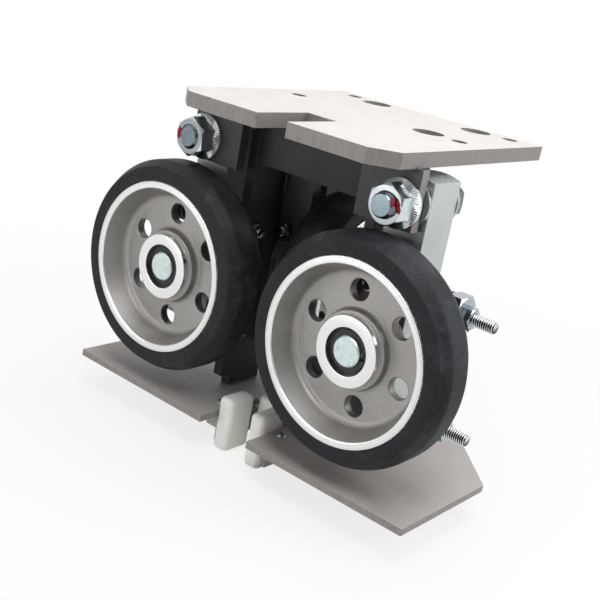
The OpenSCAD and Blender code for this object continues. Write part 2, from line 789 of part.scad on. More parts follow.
// Dished cast wheel: turned rim ring, sloped wall, drilled web and stepped hub
module wheel(place) {
    rim_r = rim_d / 2;
    ring_r = rim_r - rim_ring;
    hub_r = hub_d / 2;
    boss_r = hub_r + hub_step;
    seat_r = bearing_d / 2 + seat_fit;
    web_y = front_y + dish_depth;
    web_back_y = web_y + web_t;
    back_y = tyre_w / 2;
    nose_y = front_y + hub_sink;
    tilt = atan((ring_r - dish_r) / dish_depth);
    edge = turned_edge;
    turn = place == "left" ? left_turn : right_turn;
    color([0.72, 0.71, 0.69]) at_station(place) translate([axis_x, 0, -roller_drop]) difference() {
        turned() polygon(concat(
            [[hub_mouth_d / 2, nose_y], [hub_r - edge, nose_y], [hub_r, nose_y + edge],
             [hub_r, nose_y + hub_nose], [boss_r, nose_y + hub_nose]],
            arc([boss_r + boss_fillet, web_y - boss_fillet], boss_fillet, 180, 90),
            arc([dish_r - dish_fillet * tan((90 - tilt) / 2), web_y - dish_fillet],
                dish_fillet, 90, tilt),
            [[ring_r, front_y + edge], [ring_r + edge, front_y], [rim_r, front_y],
             [rim_r, back_y], [ring_r + edge, back_y], [ring_r, back_y - edge]],
            arc([dish_r - boss_fillet, web_back_y + boss_fillet], boss_fillet, 0, -90),
            arc([boss_r + boss_fillet, web_back_y + boss_fillet], boss_fillet, 270, 180),
            [[boss_r, bearing_back_y], [seat_r, bearing_back_y], [seat_r, bearing_y],
             [hub_mouth_d / 2, bearing_y]]
        ));
        for (i = [0:web_holes - 1])
            rotate([0, -turn - i * 360 / web_holes, 0]) translate([web_hole_pcd / 2, 0, 0]) {
                translate([0, web_y - over, 0]) along_y(web_hole_d, web_t + 2 * over);
                translate([0, web_y - over, 0]) rotate([-90, 0, 0])
                    cylinder(d1 = web_hole_d + 2 * (web_hole_break + over), d2 = web_hole_d,
                             h = web_hole_break + over, $fn = round_fn);
            }
    }
}

// Rubber tyre with bevelled shoulders, bonded to the rim
module tyre(place) {
    rim_r = rim_d / 2 + seat_fit;
    tread_r = tyre_d / 2;
    wall_r = tread_r - bevel_h;
    wall_y = front_y + sidewall_step;
    soft = tyre_soft;
    color([0.13, 0.13, 0.14]) at_station(place) translate([axis_x, 0, -roller_drop])
        turned() polygon([
            [rim_r, wall_y], [wall_r - soft, wall_y + soft], [wall_r, wall_y + 2 * soft],
            [tread_r - soft / 2, front_y + bevel_w - soft], [tread_r, front_y + bevel_w + soft],
            [tread_r, tyre_w / 2 - bevel_w - soft], [tread_r - soft / 2, tyre_w / 2 - bevel_w + soft],
            [wall_r, tyre_w / 2 - 2 * soft], [wall_r - soft, tyre_w / 2 - soft], [rim_r, tyre_w / 2]
        ]);
}

// Two sealed ball bearings side by side in the hub
module bearings(place) {
    edge = bearing_edge;
    inner_r = axle_d / 2 + race_h;
    outer_r = bearing_d / 2 - race_h;
    color([0.16, 0.16, 0.17]) at_station(place) translate([axis_x, 0, -roller_drop])
        for (i = [0, 1]) translate([0, bearing_y + i * bearing_step, 0]) turned() polygon([
            [axle_d / 2 + run_fit, 0], [inner_r, 0], [inner_r, seal_sink], [outer_r, seal_sink],
            [outer_r, 0], [bearing_d / 2 - edge, 0], [bearing_d / 2, edge],
            [bearing_d / 2, bearing_w - edge], [bearing_d / 2 - edge, bearing_w],
            [outer_r, bearing_w], [outer_r, bearing_w - seal_sink],
            [inner_r, bearing_w - seal_sink], [inner_r, bearing_w],
            [axle_d / 2 + run_fit, bearing_w]
        ]);
}

base_plate();
ear("left");  // left_ear
ear("right");  // right_ear
ear("rear");  // rear_ear
side_plate("left");  // left_side_plate
side_plate("right");  // right_side_plate
cross_plate();
rear_stud_plate();
guard_plate();
side_pad("left");  // left_pad
side_pad("right");  // right_pad
nose_pad();
pad_bracket();
pad_screws();
guard_screws();
pivot_bolt("left");  // left_pivot_bolt
pivot_bolt("right");  // right_pivot_bolt
pivot_bolt("rear");  // rear_pivot_bolt
pivot_nut("left");  // left_pivot_nut
pivot_nut("right");  // right_pivot_nut
pivot_nut("rear");  // rear_pivot_nut
pivot_washers();
stud("left", spring_z);  // left_spring_stud
stud("right", spring_z);  // right_spring_stud
stud("rear", spring_z);  // rear_spring_stud
stud("left", stop_z);  // left_stop_stud
stud("right", stop_z);  // right_stop_stud
stud("rear", stop_z);  // rear_stop_stud
stud_nuts();
jam_nuts();
spring_nuts();
stop_collars();
spring("left");  // left_spring
spring("right");  // right_spring
spring("rear");  // rear_spring
lever("left");  // left_lever
bush("left");  // left_bush
axle("left");  // left_axle
axle_nut("left");  // left_axle_nut
retaining_ring("left");  // left_ring
lever("right");  // right_lever
bush("right");  // right_bush
axle("right");  // right_axle
axle_nut("right");  // right_axle_nut
retaining_ring("right");  // right_ring
lever("rear");  // rear_lever
bush("rear");  // rear_bush
axle("rear");  // rear_axle
axle_nut("rear");  // rear_axle_nut
retaining_ring("rear");  // rear_ring
wheel("left");  // left_wheel
tyre("left");  // left_tyre
bearings("left");  // left_bearings
wheel("right");  // right_wheel
tyre("right");  // right_tyre
bearings("right");  // right_bearings
wheel("rear");  // rear_wheel
tyre("rear");  // rear_tyre
bearings("rear");  // rear_bearings
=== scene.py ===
import bpy
import bmesh
import math
from mathutils import Matrix, Vector, noise


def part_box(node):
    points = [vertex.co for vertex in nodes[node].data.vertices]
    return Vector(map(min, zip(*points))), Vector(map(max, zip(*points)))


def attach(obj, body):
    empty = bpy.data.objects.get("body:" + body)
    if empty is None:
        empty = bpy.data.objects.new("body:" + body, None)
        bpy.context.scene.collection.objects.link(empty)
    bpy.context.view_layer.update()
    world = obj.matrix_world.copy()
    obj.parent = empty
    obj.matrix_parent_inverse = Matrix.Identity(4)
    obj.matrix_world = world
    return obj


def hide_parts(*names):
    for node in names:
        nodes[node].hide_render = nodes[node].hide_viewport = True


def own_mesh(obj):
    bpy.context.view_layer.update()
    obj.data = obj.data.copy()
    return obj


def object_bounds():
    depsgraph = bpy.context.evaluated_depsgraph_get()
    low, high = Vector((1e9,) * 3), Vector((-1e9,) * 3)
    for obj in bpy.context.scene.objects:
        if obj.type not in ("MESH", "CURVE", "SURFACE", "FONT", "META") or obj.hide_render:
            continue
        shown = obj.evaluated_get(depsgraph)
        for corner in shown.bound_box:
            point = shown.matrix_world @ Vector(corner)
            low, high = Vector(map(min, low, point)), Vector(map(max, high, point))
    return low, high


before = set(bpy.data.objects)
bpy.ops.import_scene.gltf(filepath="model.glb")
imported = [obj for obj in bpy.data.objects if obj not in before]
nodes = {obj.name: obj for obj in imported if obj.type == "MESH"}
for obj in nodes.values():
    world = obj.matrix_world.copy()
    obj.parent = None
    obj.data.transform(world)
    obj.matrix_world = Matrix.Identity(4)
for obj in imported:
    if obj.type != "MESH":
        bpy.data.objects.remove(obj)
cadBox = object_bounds()
sides = ("left", "right", "rear")
outward = {"left": Vector((-1, 0, 0)), "right": Vector((1, 0, 0)), "rear": Vector((0, 1, 0))}
axial = {"left": Vector((0, 1, 0)), "right": Vector((0, 1, 0)), "rear": Vector((-1, 0, 0))}  # roller front to lever
up = Vector((0, 0, 1))
mm = 0.001
tiny = 1e-6
rearFrom = -0.02  # pieces behind this y belong to the rear roller
print("frame loaded with", len(nodes), "solid nodes")


# mesh helpers

def allTurns(count):
    return [2 * math.pi * i / count for i in range(count)]


def ringPoint(radius, turn, height):
    return Vector((radius * math.cos(turn), radius * math.sin(turn), height))


def axisMatrix(origin, direction, side):
    z = direction.normalized()  # local z runs along the piece's axis
    x = (side - z * side.dot(z)).normalized()
    y = z.cross(x)
    rows = [(x[i], y[i], z[i], origin[i]) for i in range(3)]
    return Matrix(rows + [(0, 0, 0, 1)])


def axisPoint(centre, way, distance):
    return centre + way * (distance - centre.dot(way))  # centre, slid along way


def seatOn(centre, way, distance, side):
    return axisMatrix(axisPoint(centre, way, distance), way, side)


def middle(nodeName):
    low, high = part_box(nodeName)
    return (low + high) / 2


def boxReach(low, high, direction):
    return sorted((low.dot(direction), high.dot(direction)))


def reach(nodeName, direction):
    return boxReach(*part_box(nodeName), direction)  # how far a node spans along an axis direction


def solidBoxes(nodeName):
    bm = bmesh.new()
    bm.from_mesh(nodes[nodeName].data)
    bmesh.ops.remove_doubles(bm, verts=bm.verts, dist=tiny)
    left = set(bm.verts)
    boxes = []
    while left:
        seed = left.pop()
        island, queue = [seed], [seed]
        while queue:
            for edge in queue.pop().link_edges:
                for vert in edge.verts:
                    if vert in left:
                        left.discard(vert)
                        island.append(vert)
                        queue.append(vert)
        low = Vector([min(v.co[i] for v in island) for i in range(3)])
        high = Vector([max(v.co[i] for v in island) for i in range(3)])
        boxes.append((low, high))
    bm.free()
    return sorted(boxes, key=lambda b: tuple(round(c, 6) for c in b[0]))


def stationOf(point):
    if point.y > rearFrom:
        return "rear"
    return "left" if point.x < 0 else "right"


def addRing(bm, matrix, radius, height, count):
    return [bm.verts.new(matrix @ ringPoint(radius, turn, height)) for turn in allTurns(count)]


def gridFaces(bm, rows, closeRows=False):
    count = len(rows[0])
    pairs = list(zip(rows, rows[1:]))
    if closeRows:
        pairs.append((rows[-1], rows[0]))
    for a, b in pairs:
        for i in range(count):
            j = (i + 1) % count
            corners = [a[i], a[j], b[j], b[i]]
            unique = [v for k, v in enumerate(corners) if v is not corners[k - 1]]
            if len(unique) > 2:
                bm.faces.new(unique)


def capEnds(bm, rows):
    bm.faces.new(rows[0])
    bm.faces.new(rows[-1])


def revolve(bm, profile, segments, matrix=Matrix(), closed=False):
    rows = []
    for radius, height in profile:
        if radius < tiny:
            rows.append([bm.verts.new(matrix @ Vector((0, 0, height)))] * segments)
        else:
            rows.append(addRing(bm, matrix, radius, height, segments))
    gridFaces(bm, rows, closed)


def rounded(corners, steps):
    most = 0.45  # largest share of an edge that a rounding may take
    points = [Vector(corner[:2]) for corner in corners]  # a corner is radius, height, rounding
    out = []
    for k, b in enumerate(points):
        toA, toC = points[k - 1] - b, points[(k + 1) % len(points)] - b
        cut = min(corners[k][2], toA.length * most, toC.length * most)
        if cut < tiny:
            out.append(tuple(b))
            continue
        p, q = b + toA.normalized() * cut, b + toC.normalized() * cut
        for i in range(steps + 1):
            t = i / steps
            out.append(tuple(p * (1 - t) ** 2 + b * 2 * t * (1 - t) + q * t ** 2))
    return [(radius * mm, height * mm) for radius, height in out]


def roundEdges(bm, edges, offset, steps):
    return bmesh.ops.bevel(bm, geom=edges, offset=offset, segments=steps, profile=0.5, affect="EDGES",
                           clamp_overlap=True)


def meshFrom(name, bm):
    bmesh.ops.recalc_face_normals(bm, faces=bm.faces)
    mesh = bpy.data.meshes.new(name)
    bm.to_mesh(mesh)
    bm.free()
    return mesh


def addObject(name, data):
    item = bpy.data.objects.new(name, data)
    bpy.context.scene.collection.objects.link(item)
    return item


def appliedMesh(blank):
    bpy.context.view_layer.update()
    return bpy.data.meshes.new_from_object(blank.evaluated_get(bpy.context.evaluated_depsgraph_get()))


def smooth(mesh):
    mesh.polygons.foreach_set("use_smooth", [True] * len(mesh.polygons))


def makePiece(name, bm, finish, body, replaced=(), matrix=None, sharpAngle=32):
    return finishPiece(name, meshFrom(name, bm), finish, body, replaced, matrix, sharpAngle)


def finishPiece(name, mesh, finish, body, replaced=(), matrix=None, sharpAngle=32):
    mesh.materials.clear()
    mesh.materials.append(finish)
    if sharpAngle:
        smooth(mesh)
        mesh.set_sharp_from_angle(angle=math.radians(sharpAngle))
    piece = addObject(name, mesh)
    if matrix is not None:
        piece.matrix_world = matrix
    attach(piece, body)
    if replaced:
        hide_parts(*replaced)
    return piece


def hardware(name, bm, finish, nodeName, sharpAngle, matrix=None, body="frame"):
    return makePiece(name, bm, finish, body, (nodeName,), matrix, sharpAngle)


dressing = {"merge": 2e-6, "flat": math.radians(0.5), "corner": math.radians(28), "weight": 100}


def dressSolid(nodeName, name, edge, finish, body, steps=2):
    bm = bmesh.new()
    bm.from_mesh(nodes[nodeName].data)
    bmesh.ops.remove_doubles(bm, verts=bm.verts, dist=dressing["merge"])
    bmesh.ops.dissolve_limit(bm, angle_limit=dressing["flat"], verts=bm.verts, edges=bm.edges)
    corners = [e for e in bm.edges if len(e.link_faces) == 2 and e.calc_face_angle() > dressing["corner"]]
    rubbed = bm.faces.layers.float.new("rubbed")  # marks the broken edges for the finish
    for face in roundEdges(bm, corners, edge, steps)["faces"]:
        face[rubbed] = 1.0
    mesh = bpy.data.meshes.new(name)
    bm.to_mesh(mesh)
    bm.free()
    smooth(mesh)
    blank = addObject(name + "Blank", mesh)
    weigh = blank.modifiers.new("weigh", "WEIGHTED_NORMAL")  # large faces stay flat, broken edges take the turn
    weigh.weight = dressing["weight"]
    mesh = appliedMesh(blank)
    bpy.data.objects.remove(blank)
    return finishPiece(name, mesh, finish, body, (nodeName,), sharpAngle=None)


# finishes

cloudRange = (0.3, 0.7)  # nearly all noise values lie in here
mixRange = (0.35, 0.65)


def toned(colour, factor):
    return [c * factor for c in colour]


def newFinish(name, sockets):
    finish = bpy.data.materials.new(name)
    finish.use_nodes = True
    shader = finish.node_tree.nodes["Principled BSDF"]
    for key, value in sockets.items():
        shader.inputs[key].default_value = value
    return finish, finish.node_tree, shader


def addNode(tree, kind, inputs=None, **settings):
    node = tree.nodes.new(kind)
    for key, value in settings.items():
        setattr(node, key, value)
    for key, value in (inputs or {}).items():
        if isinstance(value, bpy.types.NodeSocket):
            tree.links.new(value, node.inputs[key])
        else:
            node.inputs[key].default_value = value
    return node


def maths(tree, operation, a, b=None, clamp=False):
    inputs = {0: a} if b is None else {0: a, 1: b}
    return addNode(tree, "ShaderNodeMath", inputs, operation=operation, use_clamp=clamp).outputs[0]


def times(tree, a, b):
    return maths(tree, "MULTIPLY", a, b)


def span(tree, value, fromLow, fromHigh, toLow=0.0, toHigh=1.0):
    inputs = {"Value": value, "From Min": fromLow, "From Max": fromHigh, "To Min": toLow, "To Max": toHigh}
    return addNode(tree, "ShaderNodeMapRange", inputs).outputs["Result"]


def blendColour(tree, share, a, b):
    node = addNode(tree, "ShaderNodeMix", {0: share}, data_type="RGBA")
    for index, value in ((6, a), (7, b)):  # the mix node's colour sockets
        if isinstance(value, bpy.types.NodeSocket):
            tree.links.new(value, node.inputs[index])
        else:
            node.inputs[index].default_value = (*value, 1)
    return node.outputs[2]


def blendValue(tree, share, a, b):
    return addNode(tree, "ShaderNodeMix", {0: share, 2: a, 3: b}, data_type="FLOAT").outputs[0]


def objectPlace(tree):
    return addNode(tree, "ShaderNodeTexCoord").outputs["Object"]


def objectNormal(tree):
    return addNode(tree, "ShaderNodeTexCoord").outputs["Normal"]


def xyzOf(tree, vector):
    return addNode(tree, "ShaderNodeSeparateXYZ", {0: vector}).outputs


def ringRadius(tree, parts):
    return maths(tree, "SQRT", maths(tree, "ADD", times(tree, parts[0], parts[0]), times(tree, parts[1], parts[1])))


def grain(tree, place, scale, stretch=(1, 1, 1), detail=4.0, rough=0.6):
    stretched = addNode(tree, "ShaderNodeVectorMath", {0: place, 1: stretch}, operation="MULTIPLY").outputs[0]
    inputs = {"Vector": stretched, "Scale": scale, "Detail": detail, "Roughness": rough}
    return addNode(tree, "ShaderNodeTexNoise", inputs).outputs["Fac"]


def lines(tree, place, stretch):
    return grain(tree, place, 1, stretch, 3)  # noise drawn out along the axis of the smallest number


def mixGrain(tree, a, b, shareOfA):
    return maths(tree, "ADD", times(tree, a, shareOfA), times(tree, b, 1 - shareOfA))


def bump(tree, shader, height, depth, strength):
    before = shader.inputs["Normal"].links
    inputs = {"Height": height, "Strength": strength, "Distance": depth}
    if before:
        inputs["Normal"] = before[0].from_socket
    node = addNode(tree, "ShaderNodeBump", inputs)
    tree.links.new(node.outputs["Normal"], shader.inputs["Normal"])


def setLook(tree, shader, colour, rough):
    tree.links.new(colour, shader.inputs["Base Color"])
    tree.links.new(rough, shader.inputs["Roughness"])


plateLook = {"base": (0.43, 0.395, 0.378), "pale": (0.50, 0.465, 0.448), "worn": (0.66, 0.63, 0.61),
             "wornShare": 0.4, "rough": (0.42, 0.58), "metal": 0.1, "cloudScale": 38, "cloudShare": 0.6,
             "blastScale": 1500, "blastDepth": 0.05 * mm, "blastPull": 0.6,
             "edgeTurn": (0.5, 0.2), "outerReach": (0.01, 0.03), "cutTone": 0.58, "cutPale": 1.12,
             "cutLines": (1300, 1300, 120), "cutRange": (0.4, 0.75), "cutDepth": 0.12 * mm, "cutPull": 0.9,
             "dentLines": (420, 420, 190), "dentRange": (0.60, 0.70, 0.0, 0.55), "dentTone": 0.5}


def plateFinish(name, flatAxis, tone=(1, 1, 1), gloss=0.5, outerOnly=False):
    look = plateLook
    base, pale, worn = ([c * t for c, t in zip(look[key], tone)] for key in ("base", "pale", "worn"))
    finish, tree, shader = newFinish(name, {"Metallic": look["metal"], "Specular IOR Level": gloss})
    place = objectPlace(tree)
    cloud = grain(tree, place, look["cloudScale"])
    speck = grain(tree, place, look["blastScale"], detail=2)
    share = mixGrain(tree, cloud, speck, look["cloudShare"])
    colour = blendColour(tree, span(tree, share, *mixRange), base, pale)
    rubbed = addNode(tree, "ShaderNodeAttribute", attribute_name="rubbed").outputs["Fac"]
    colour = blendColour(tree, times(tree, rubbed, look["wornShare"]), colour, worn)
    bump(tree, shader, speck, look["blastDepth"], look["blastPull"])
    if flatAxis is not None:  # faces away from this axis are sawn edges
        normal = objectNormal(tree)
        edge = span(tree, maths(tree, "ABSOLUTE", xyzOf(tree, normal)[flatAxis]), *look["edgeTurn"])
        if outerOnly:  # edges that face the middle of the shoe keep the painted shade of the darkened plate
            facing = addNode(tree, "ShaderNodeVectorMath", {0: normal, 1: place}, operation="DOT_PRODUCT")
            edge = times(tree, edge, span(tree, facing.outputs["Value"], *look["outerReach"]))
        streak = lines(tree, place, look["cutLines"])
        cut = toned(look["base"], look["cutTone"])
        cutPale = toned(look["pale"], look["cutTone"] * look["cutPale"])
        sawn = blendColour(tree, span(tree, streak, *look["cutRange"]), cut, cutPale)
        dent = span(tree, lines(tree, place, look["dentLines"]), *look["dentRange"])
        sawn = blendColour(tree, dent, sawn, toned(cut, look["dentTone"]))
        colour = blendColour(tree, edge, colour, sawn)
        bump(tree, shader, times(tree, edge, streak), look["cutDepth"], look["cutPull"])
    setLook(tree, shader, colour, span(tree, cloud, *cloudRange, *look["rough"]))
    return finish


leverLook = {"base": (0.44, 0.478, 0.464), "pale": (0.51, 0.543, 0.529), "millMarksAndShade": (0.27, 0.28, 0.275),
             "rough": (0.34, 0.48), "metal": 0.7, "cloudScale": 45,
             "drawLines": (700, 700, 18), "drawShare": 0.35, "drawDepth": 0.03 * mm, "drawPull": 0.6,
             "crownTurn": (0.55, 0.8), "millLines": (420, 420, 60), "millRange": (0.38, 0.62, 0.45, 1.0)}


def leverFinish():
    look = leverLook
    finish, tree, shader = newFinish("leverZinc", {"Metallic": look["metal"]})
    place = objectPlace(tree)
    drawn = lines(tree, place, look["drawLines"])
    share = mixGrain(tree, drawn, grain(tree, place, look["cloudScale"]), look["drawShare"])
    colour = blendColour(tree, span(tree, share, *mixRange), look["base"], look["pale"])
    crown = span(tree, xyzOf(tree, objectNormal(tree))[2], *look["crownTurn"])  # the upper ends: milling streaks, darkened as painted shade under the base plate
    millMarksAndShade = span(tree, lines(tree, place, look["millLines"]), *look["millRange"])
    colour = blendColour(tree, times(tree, crown, millMarksAndShade), colour, look["millMarksAndShade"])
    setLook(tree, shader, colour, span(tree, share, *cloudRange, *look["rough"]))
    bump(tree, shader, drawn, look["drawDepth"], look["drawPull"])
    return finish


zincLook = {"spread": 0.86, "cloudScale": 260, "roughSpread": (0.75, 1.4),
            "fineScale": 2200, "fineDepth": 0.02 * mm, "finePull": 0.5,
            "grooveShade": (0.03, 0.03, 0.032), "grooveShadeTurn": (0.50, 0.44), "endTurn": (0.95, 0.99)}


def zincSkin(tree, shader, place, colour, cloud, rough, depth):
    bump(tree, shader, grain(tree, place, zincLook["fineScale"], detail=2), depth, zincLook["finePull"])
    setLook(tree, shader, colour, span(tree, cloud, *cloudRange, *toned(zincLook["roughSpread"], rough)))


def zincFinish(name, base, rough, depth=zincLook["fineDepth"], spread=zincLook["spread"],
               scale=zincLook["cloudScale"], grooveShading=0.0, endFaceShade=1.0):
    finish, tree, shader = newFinish(name, {"Metallic": 1.0})
    place = objectPlace(tree)
    cloud = grain(tree, place, scale)
    colour = blendColour(tree, span(tree, cloud, *cloudRange), toned(base, spread), base)
    if grooveShading:  # painted shade darkens the roots of a thread
        point = addNode(tree, "ShaderNodeNewGeometry").outputs["Pointiness"]
        rootShade = span(tree, point, *zincLook["grooveShadeTurn"])
        colour = blendColour(tree, times(tree, rootShade, grooveShading), colour, zincLook["grooveShade"])
    if endFaceShade < 1:  # the faced ends across local z are painted greyer than the flats: painted shade for their dimmer reflection
        across = maths(tree, "ABSOLUTE", xyzOf(tree, objectNormal(tree))[2])
        colour = blendColour(tree, span(tree, across, *zincLook["endTurn"]), colour, toned(base, endFaceShade))
    zincSkin(tree, shader, place, colour, cloud, rough, depth)
    return finish


studThread = {"radius": 3.98 * mm, "pitch": 1.5 * mm, "bevel": 0.8 * mm, "segments": 20, "sharp": 40}
threadLook = {"crest": (0.70, 0.73, 0.74), "rootShade": (0.035, 0.036, 0.040), "rough": 0.20, "rootCentre": 0.11,
              "rootRange": (0.20, 0.32), "keepAbove": 10.5}


def threadFinish(name, pitch):
    look = threadLook
    finish, tree, shader = newFinish(name, {"Metallic": 1.0})
    place = objectPlace(tree)  # local z runs along the stud
    parts = xyzOf(tree, place)
    turn = maths(tree, "DIVIDE", maths(tree, "ARCTAN2", parts[1], parts[0]), 2 * math.pi)
    rise = maths(tree, "SUBTRACT", maths(tree, "DIVIDE", parts[2], pitch), turn)
    phase = maths(tree, "FRACT", maths(tree, "ADD", rise, look["keepAbove"] - look["rootCentre"]))  # kept above zero
    fromRoot = maths(tree, "ABSOLUTE", maths(tree, "SUBTRACT", phase, 0.5))
    cloud = grain(tree, place, zincLook["cloudScale"])
    crest = blendColour(tree, span(tree, cloud, *cloudRange), toned(look["crest"], zincLook["spread"]), look["crest"])
    # the roots are painted near black: painted shade in the thread's grooves
    colour = blendColour(tree, span(tree, fromRoot, *look["rootRange"]), look["rootShade"], crest)
    zincSkin(tree, shader, place, colour, cloud, look["rough"], zincLook["fineDepth"])
    return finish


wheelLook = {"cast": (0.290, 0.279, 0.267), "castPale": (0.385, 0.371, 0.357), "turned": (0.76, 0.76, 0.755),
             "castRough": (0.42, 0.55), "turnedRough": (0.19, 0.30), "metal": (0.75, 1.0),
             "cloudScale": 55, "cloudShare": 0.55, "sandScale": 1100, "sandDepth": 0.16 * mm, "sandPull": 0.5,
             "ringInner": 55.0 * mm, "frontFace": -16.2 * mm, "backFace": 16.2 * mm,
             "hubRadius": 23.3 * mm, "hubStep": -6.2 * mm,
             "latheLine": 0.55 * mm, "latheDepth": 0.012 * mm, "lathePull": 0.6,
             "holes": 6.0, "holeCircle": 37.5 * mm, "holeWall": 7.03 * mm, "holeFade": 0.2 * mm,
             "paintedHoleShade": (0.21, 0.196, 0.183)}


def wheelFinish():
    look = wheelLook
    finish, tree, shader = newFinish("castWheel", {})
    place = objectPlace(tree)
    parts = xyzOf(tree, place)
    radius = ringRadius(tree, parts)
    outer = maths(tree, "GREATER_THAN", radius, look["ringInner"])
    faces = maths(tree, "ADD", maths(tree, "LESS_THAN", parts[2], look["frontFace"]),
                  maths(tree, "GREATER_THAN", parts[2], look["backFace"]))
    hub = times(tree, maths(tree, "LESS_THAN", radius, look["hubRadius"]),
                maths(tree, "LESS_THAN", parts[2], look["hubStep"]))
    turned = maths(tree, "ADD", times(tree, outer, faces), hub, clamp=True)
    cloud = grain(tree, place, look["cloudScale"])
    sand = grain(tree, place, look["sandScale"], detail=3)
    share = mixGrain(tree, cloud, sand, look["cloudShare"])
    cast = blendColour(tree, span(tree, share, *mixRange), look["cast"], look["castPale"])
    # distance from the axis of the nearest hole, one hole to a sector
    sector = times(tree, maths(tree, "ARCTAN2", parts[1], parts[0]), look["holes"])
    folded = maths(tree, "ARCTAN2", maths(tree, "SINE", sector), maths(tree, "COSINE", sector))
    across = maths(tree, "COSINE", maths(tree, "DIVIDE", folded, look["holes"]))
    pull = times(tree, times(tree, radius, across), 2 * look["holeCircle"])
    squares = maths(tree, "ADD", times(tree, radius, radius), look["holeCircle"] ** 2)
    gap = maths(tree, "SQRT", maths(tree, "SUBTRACT", squares, pull))
    wall = span(tree, gap, look["holeWall"] + look["holeFade"], look["holeWall"])
    # hole walls take a darker colour: painted shade inside the holes
    cast = blendColour(tree, wall, cast, look["paintedHoleShade"])
    lathe = maths(tree, "SINE", times(tree, radius, 2 * math.pi / look["latheLine"]))
    rough = blendValue(tree, turned, span(tree, cloud, *cloudRange, *look["castRough"]),
                       span(tree, lathe, -1, 1, *look["turnedRough"]))
    setLook(tree, shader, blendColour(tree, turned, cast, look["turned"]), rough)
    tree.links.new(span(tree, turned, 0, 1, *look["metal"]), shader.inputs["Metallic"])
    sandy = times(tree, sand, maths(tree, "SUBTRACT", 1.0, turned))
    bump(tree, shader, sandy, look["sandDepth"], look["sandPull"])
    bump(tree, shader, times(tree, lathe, turned), look["latheDepth"], look["lathePull"])
    return finish


tyreLook = {"dark": (0.009, 0.010, 0.012), "grey": (0.020, 0.022, 0.027), "dust": (0.072, 0.075, 0.081),
            "gloss": 0.18, "rough": (0.44, 0.66), "greyRange": (0.75, 1.3),
            "streakScale": 420, "streakDepth": 0.04 * mm, "streakPull": 0.4,
            "fineScale": 1600, "fineDepth": 0.05 * mm, "finePull": 0.5,
            "smearScale": 34, "smearRange": (0.46, 0.68), "blotScale": 95, "blotRange": (0.36, 0.68),
            "bevelStart": 70.2 * mm, "bevelFade": 0.4 * mm, "wallDust": 0.3,
            "speckScale": 650, "speckRange": (0.58, 0.72), "speck": 0.55,
            "flake": (0.62, 0.61, 0.60), "flakeScale": 900, "flakeRange": (0.45, 0.75), "flakeEdge": 60.05 * mm,
            "flakeReach": 0.45 * mm}


def tyreFinish():
    look = tyreLook
    finish, tree, shader = newFinish("tyreRubber", {"Specular IOR Level": look["gloss"]})
    place = objectPlace(tree)
    parts = xyzOf(tree, place)
    radius = ringRadius(tree, parts)
    ringPlace = addNode(tree, "ShaderNodeCombineXYZ", {0: radius, 1: parts[2], 2: 0.0}).outputs[0]
    streak = grain(tree, ringPlace, look["streakScale"], detail=5)
    smear = grain(tree, place, look["smearScale"], detail=6, rough=0.65)
    blot = grain(tree, place, look["blotScale"], detail=5, rough=0.7)
    fine = grain(tree, place, look["fineScale"], detail=3)
    start, fade = look["bevelStart"], look["bevelFade"]
    tread = span(tree, radius, start - fade, start + fade, look["wallDust"], 1.0)
    grey = span(tree, maths(tree, "ADD", streak, smear), *look["greyRange"])
    colour = blendColour(tree, grey, look["dark"], look["grey"])
    scuff = times(tree, span(tree, smear, *look["smearRange"]), span(tree, blot, *look["blotRange"]))  # handling dust
    colour = blendColour(tree, times(tree, tread, scuff), colour, look["dust"])
    speck = grain(tree, place, look["speckScale"], detail=3, rough=0.7)
    colour = blendColour(tree, span(tree, speck, *look["speckRange"], 0.0, look["speck"]), colour, look["dust"])
    ragged = grain(tree, place, look["flakeScale"], detail=2)
    ragged = span(tree, ragged, *look["flakeRange"], 0.0, look["flakeReach"])
    flake = maths(tree, "LESS_THAN", radius, maths(tree, "ADD", ragged, look["flakeEdge"]))  # metal showing at the bond
    colour = blendColour(tree, flake, colour, look["flake"])
    setLook(tree, shader, colour, span(tree, smear, *cloudRange, *look["rough"]))
    bump(tree, shader, fine, look["fineDepth"], look["finePull"])
    bump(tree, shader, streak, look["streakDepth"], look["streakPull"])
    return finish


def cloudyFinish(name, sockets, colours, rough, look):
    finish, tree, shader = newFinish(name, sockets)
    place = objectPlace(tree)
    cloud = grain(tree, place, look["cloudScale"])
    colour = blendColour(tree, span(tree, cloud, *cloudRange), *colours)
    setLook(tree, shader, colour, span(tree, cloud, *cloudRange, *rough))
    bump(tree, shader, grain(tree, place, look["fineScale"], detail=2), look["fineDepth"], look["finePull"])
    return finish


nylonLook = {"colours": ((0.955, 0.94, 0.85), (0.985, 0.972, 0.905)), "rough": (0.36, 0.5), "cloudScale": 90,
             "fineScale": 1300, "fineDepth": 0.04 * mm, "finePull": 0.4,
             "glow": {"Subsurface Weight": 0.6, "Subsurface Radius": (0.012, 0.011, 0.009), "Subsurface Scale": 1.0}}
darkLook = {"spread": 0.8, "roughSpread": (0.85, 1.2), "cloudScale": 200, "fineScale": 1800,
            "fineDepth": 0.02 * mm, "finePull": 0.5}


def darkFinish(name, base, rough, metal, gloss=0.5):
    return cloudyFinish(name, {"Metallic": metal, "Specular IOR Level": gloss}, (toned(base, darkLook["spread"]), base),
                        toned(darkLook["roughSpread"], rough), darkLook)


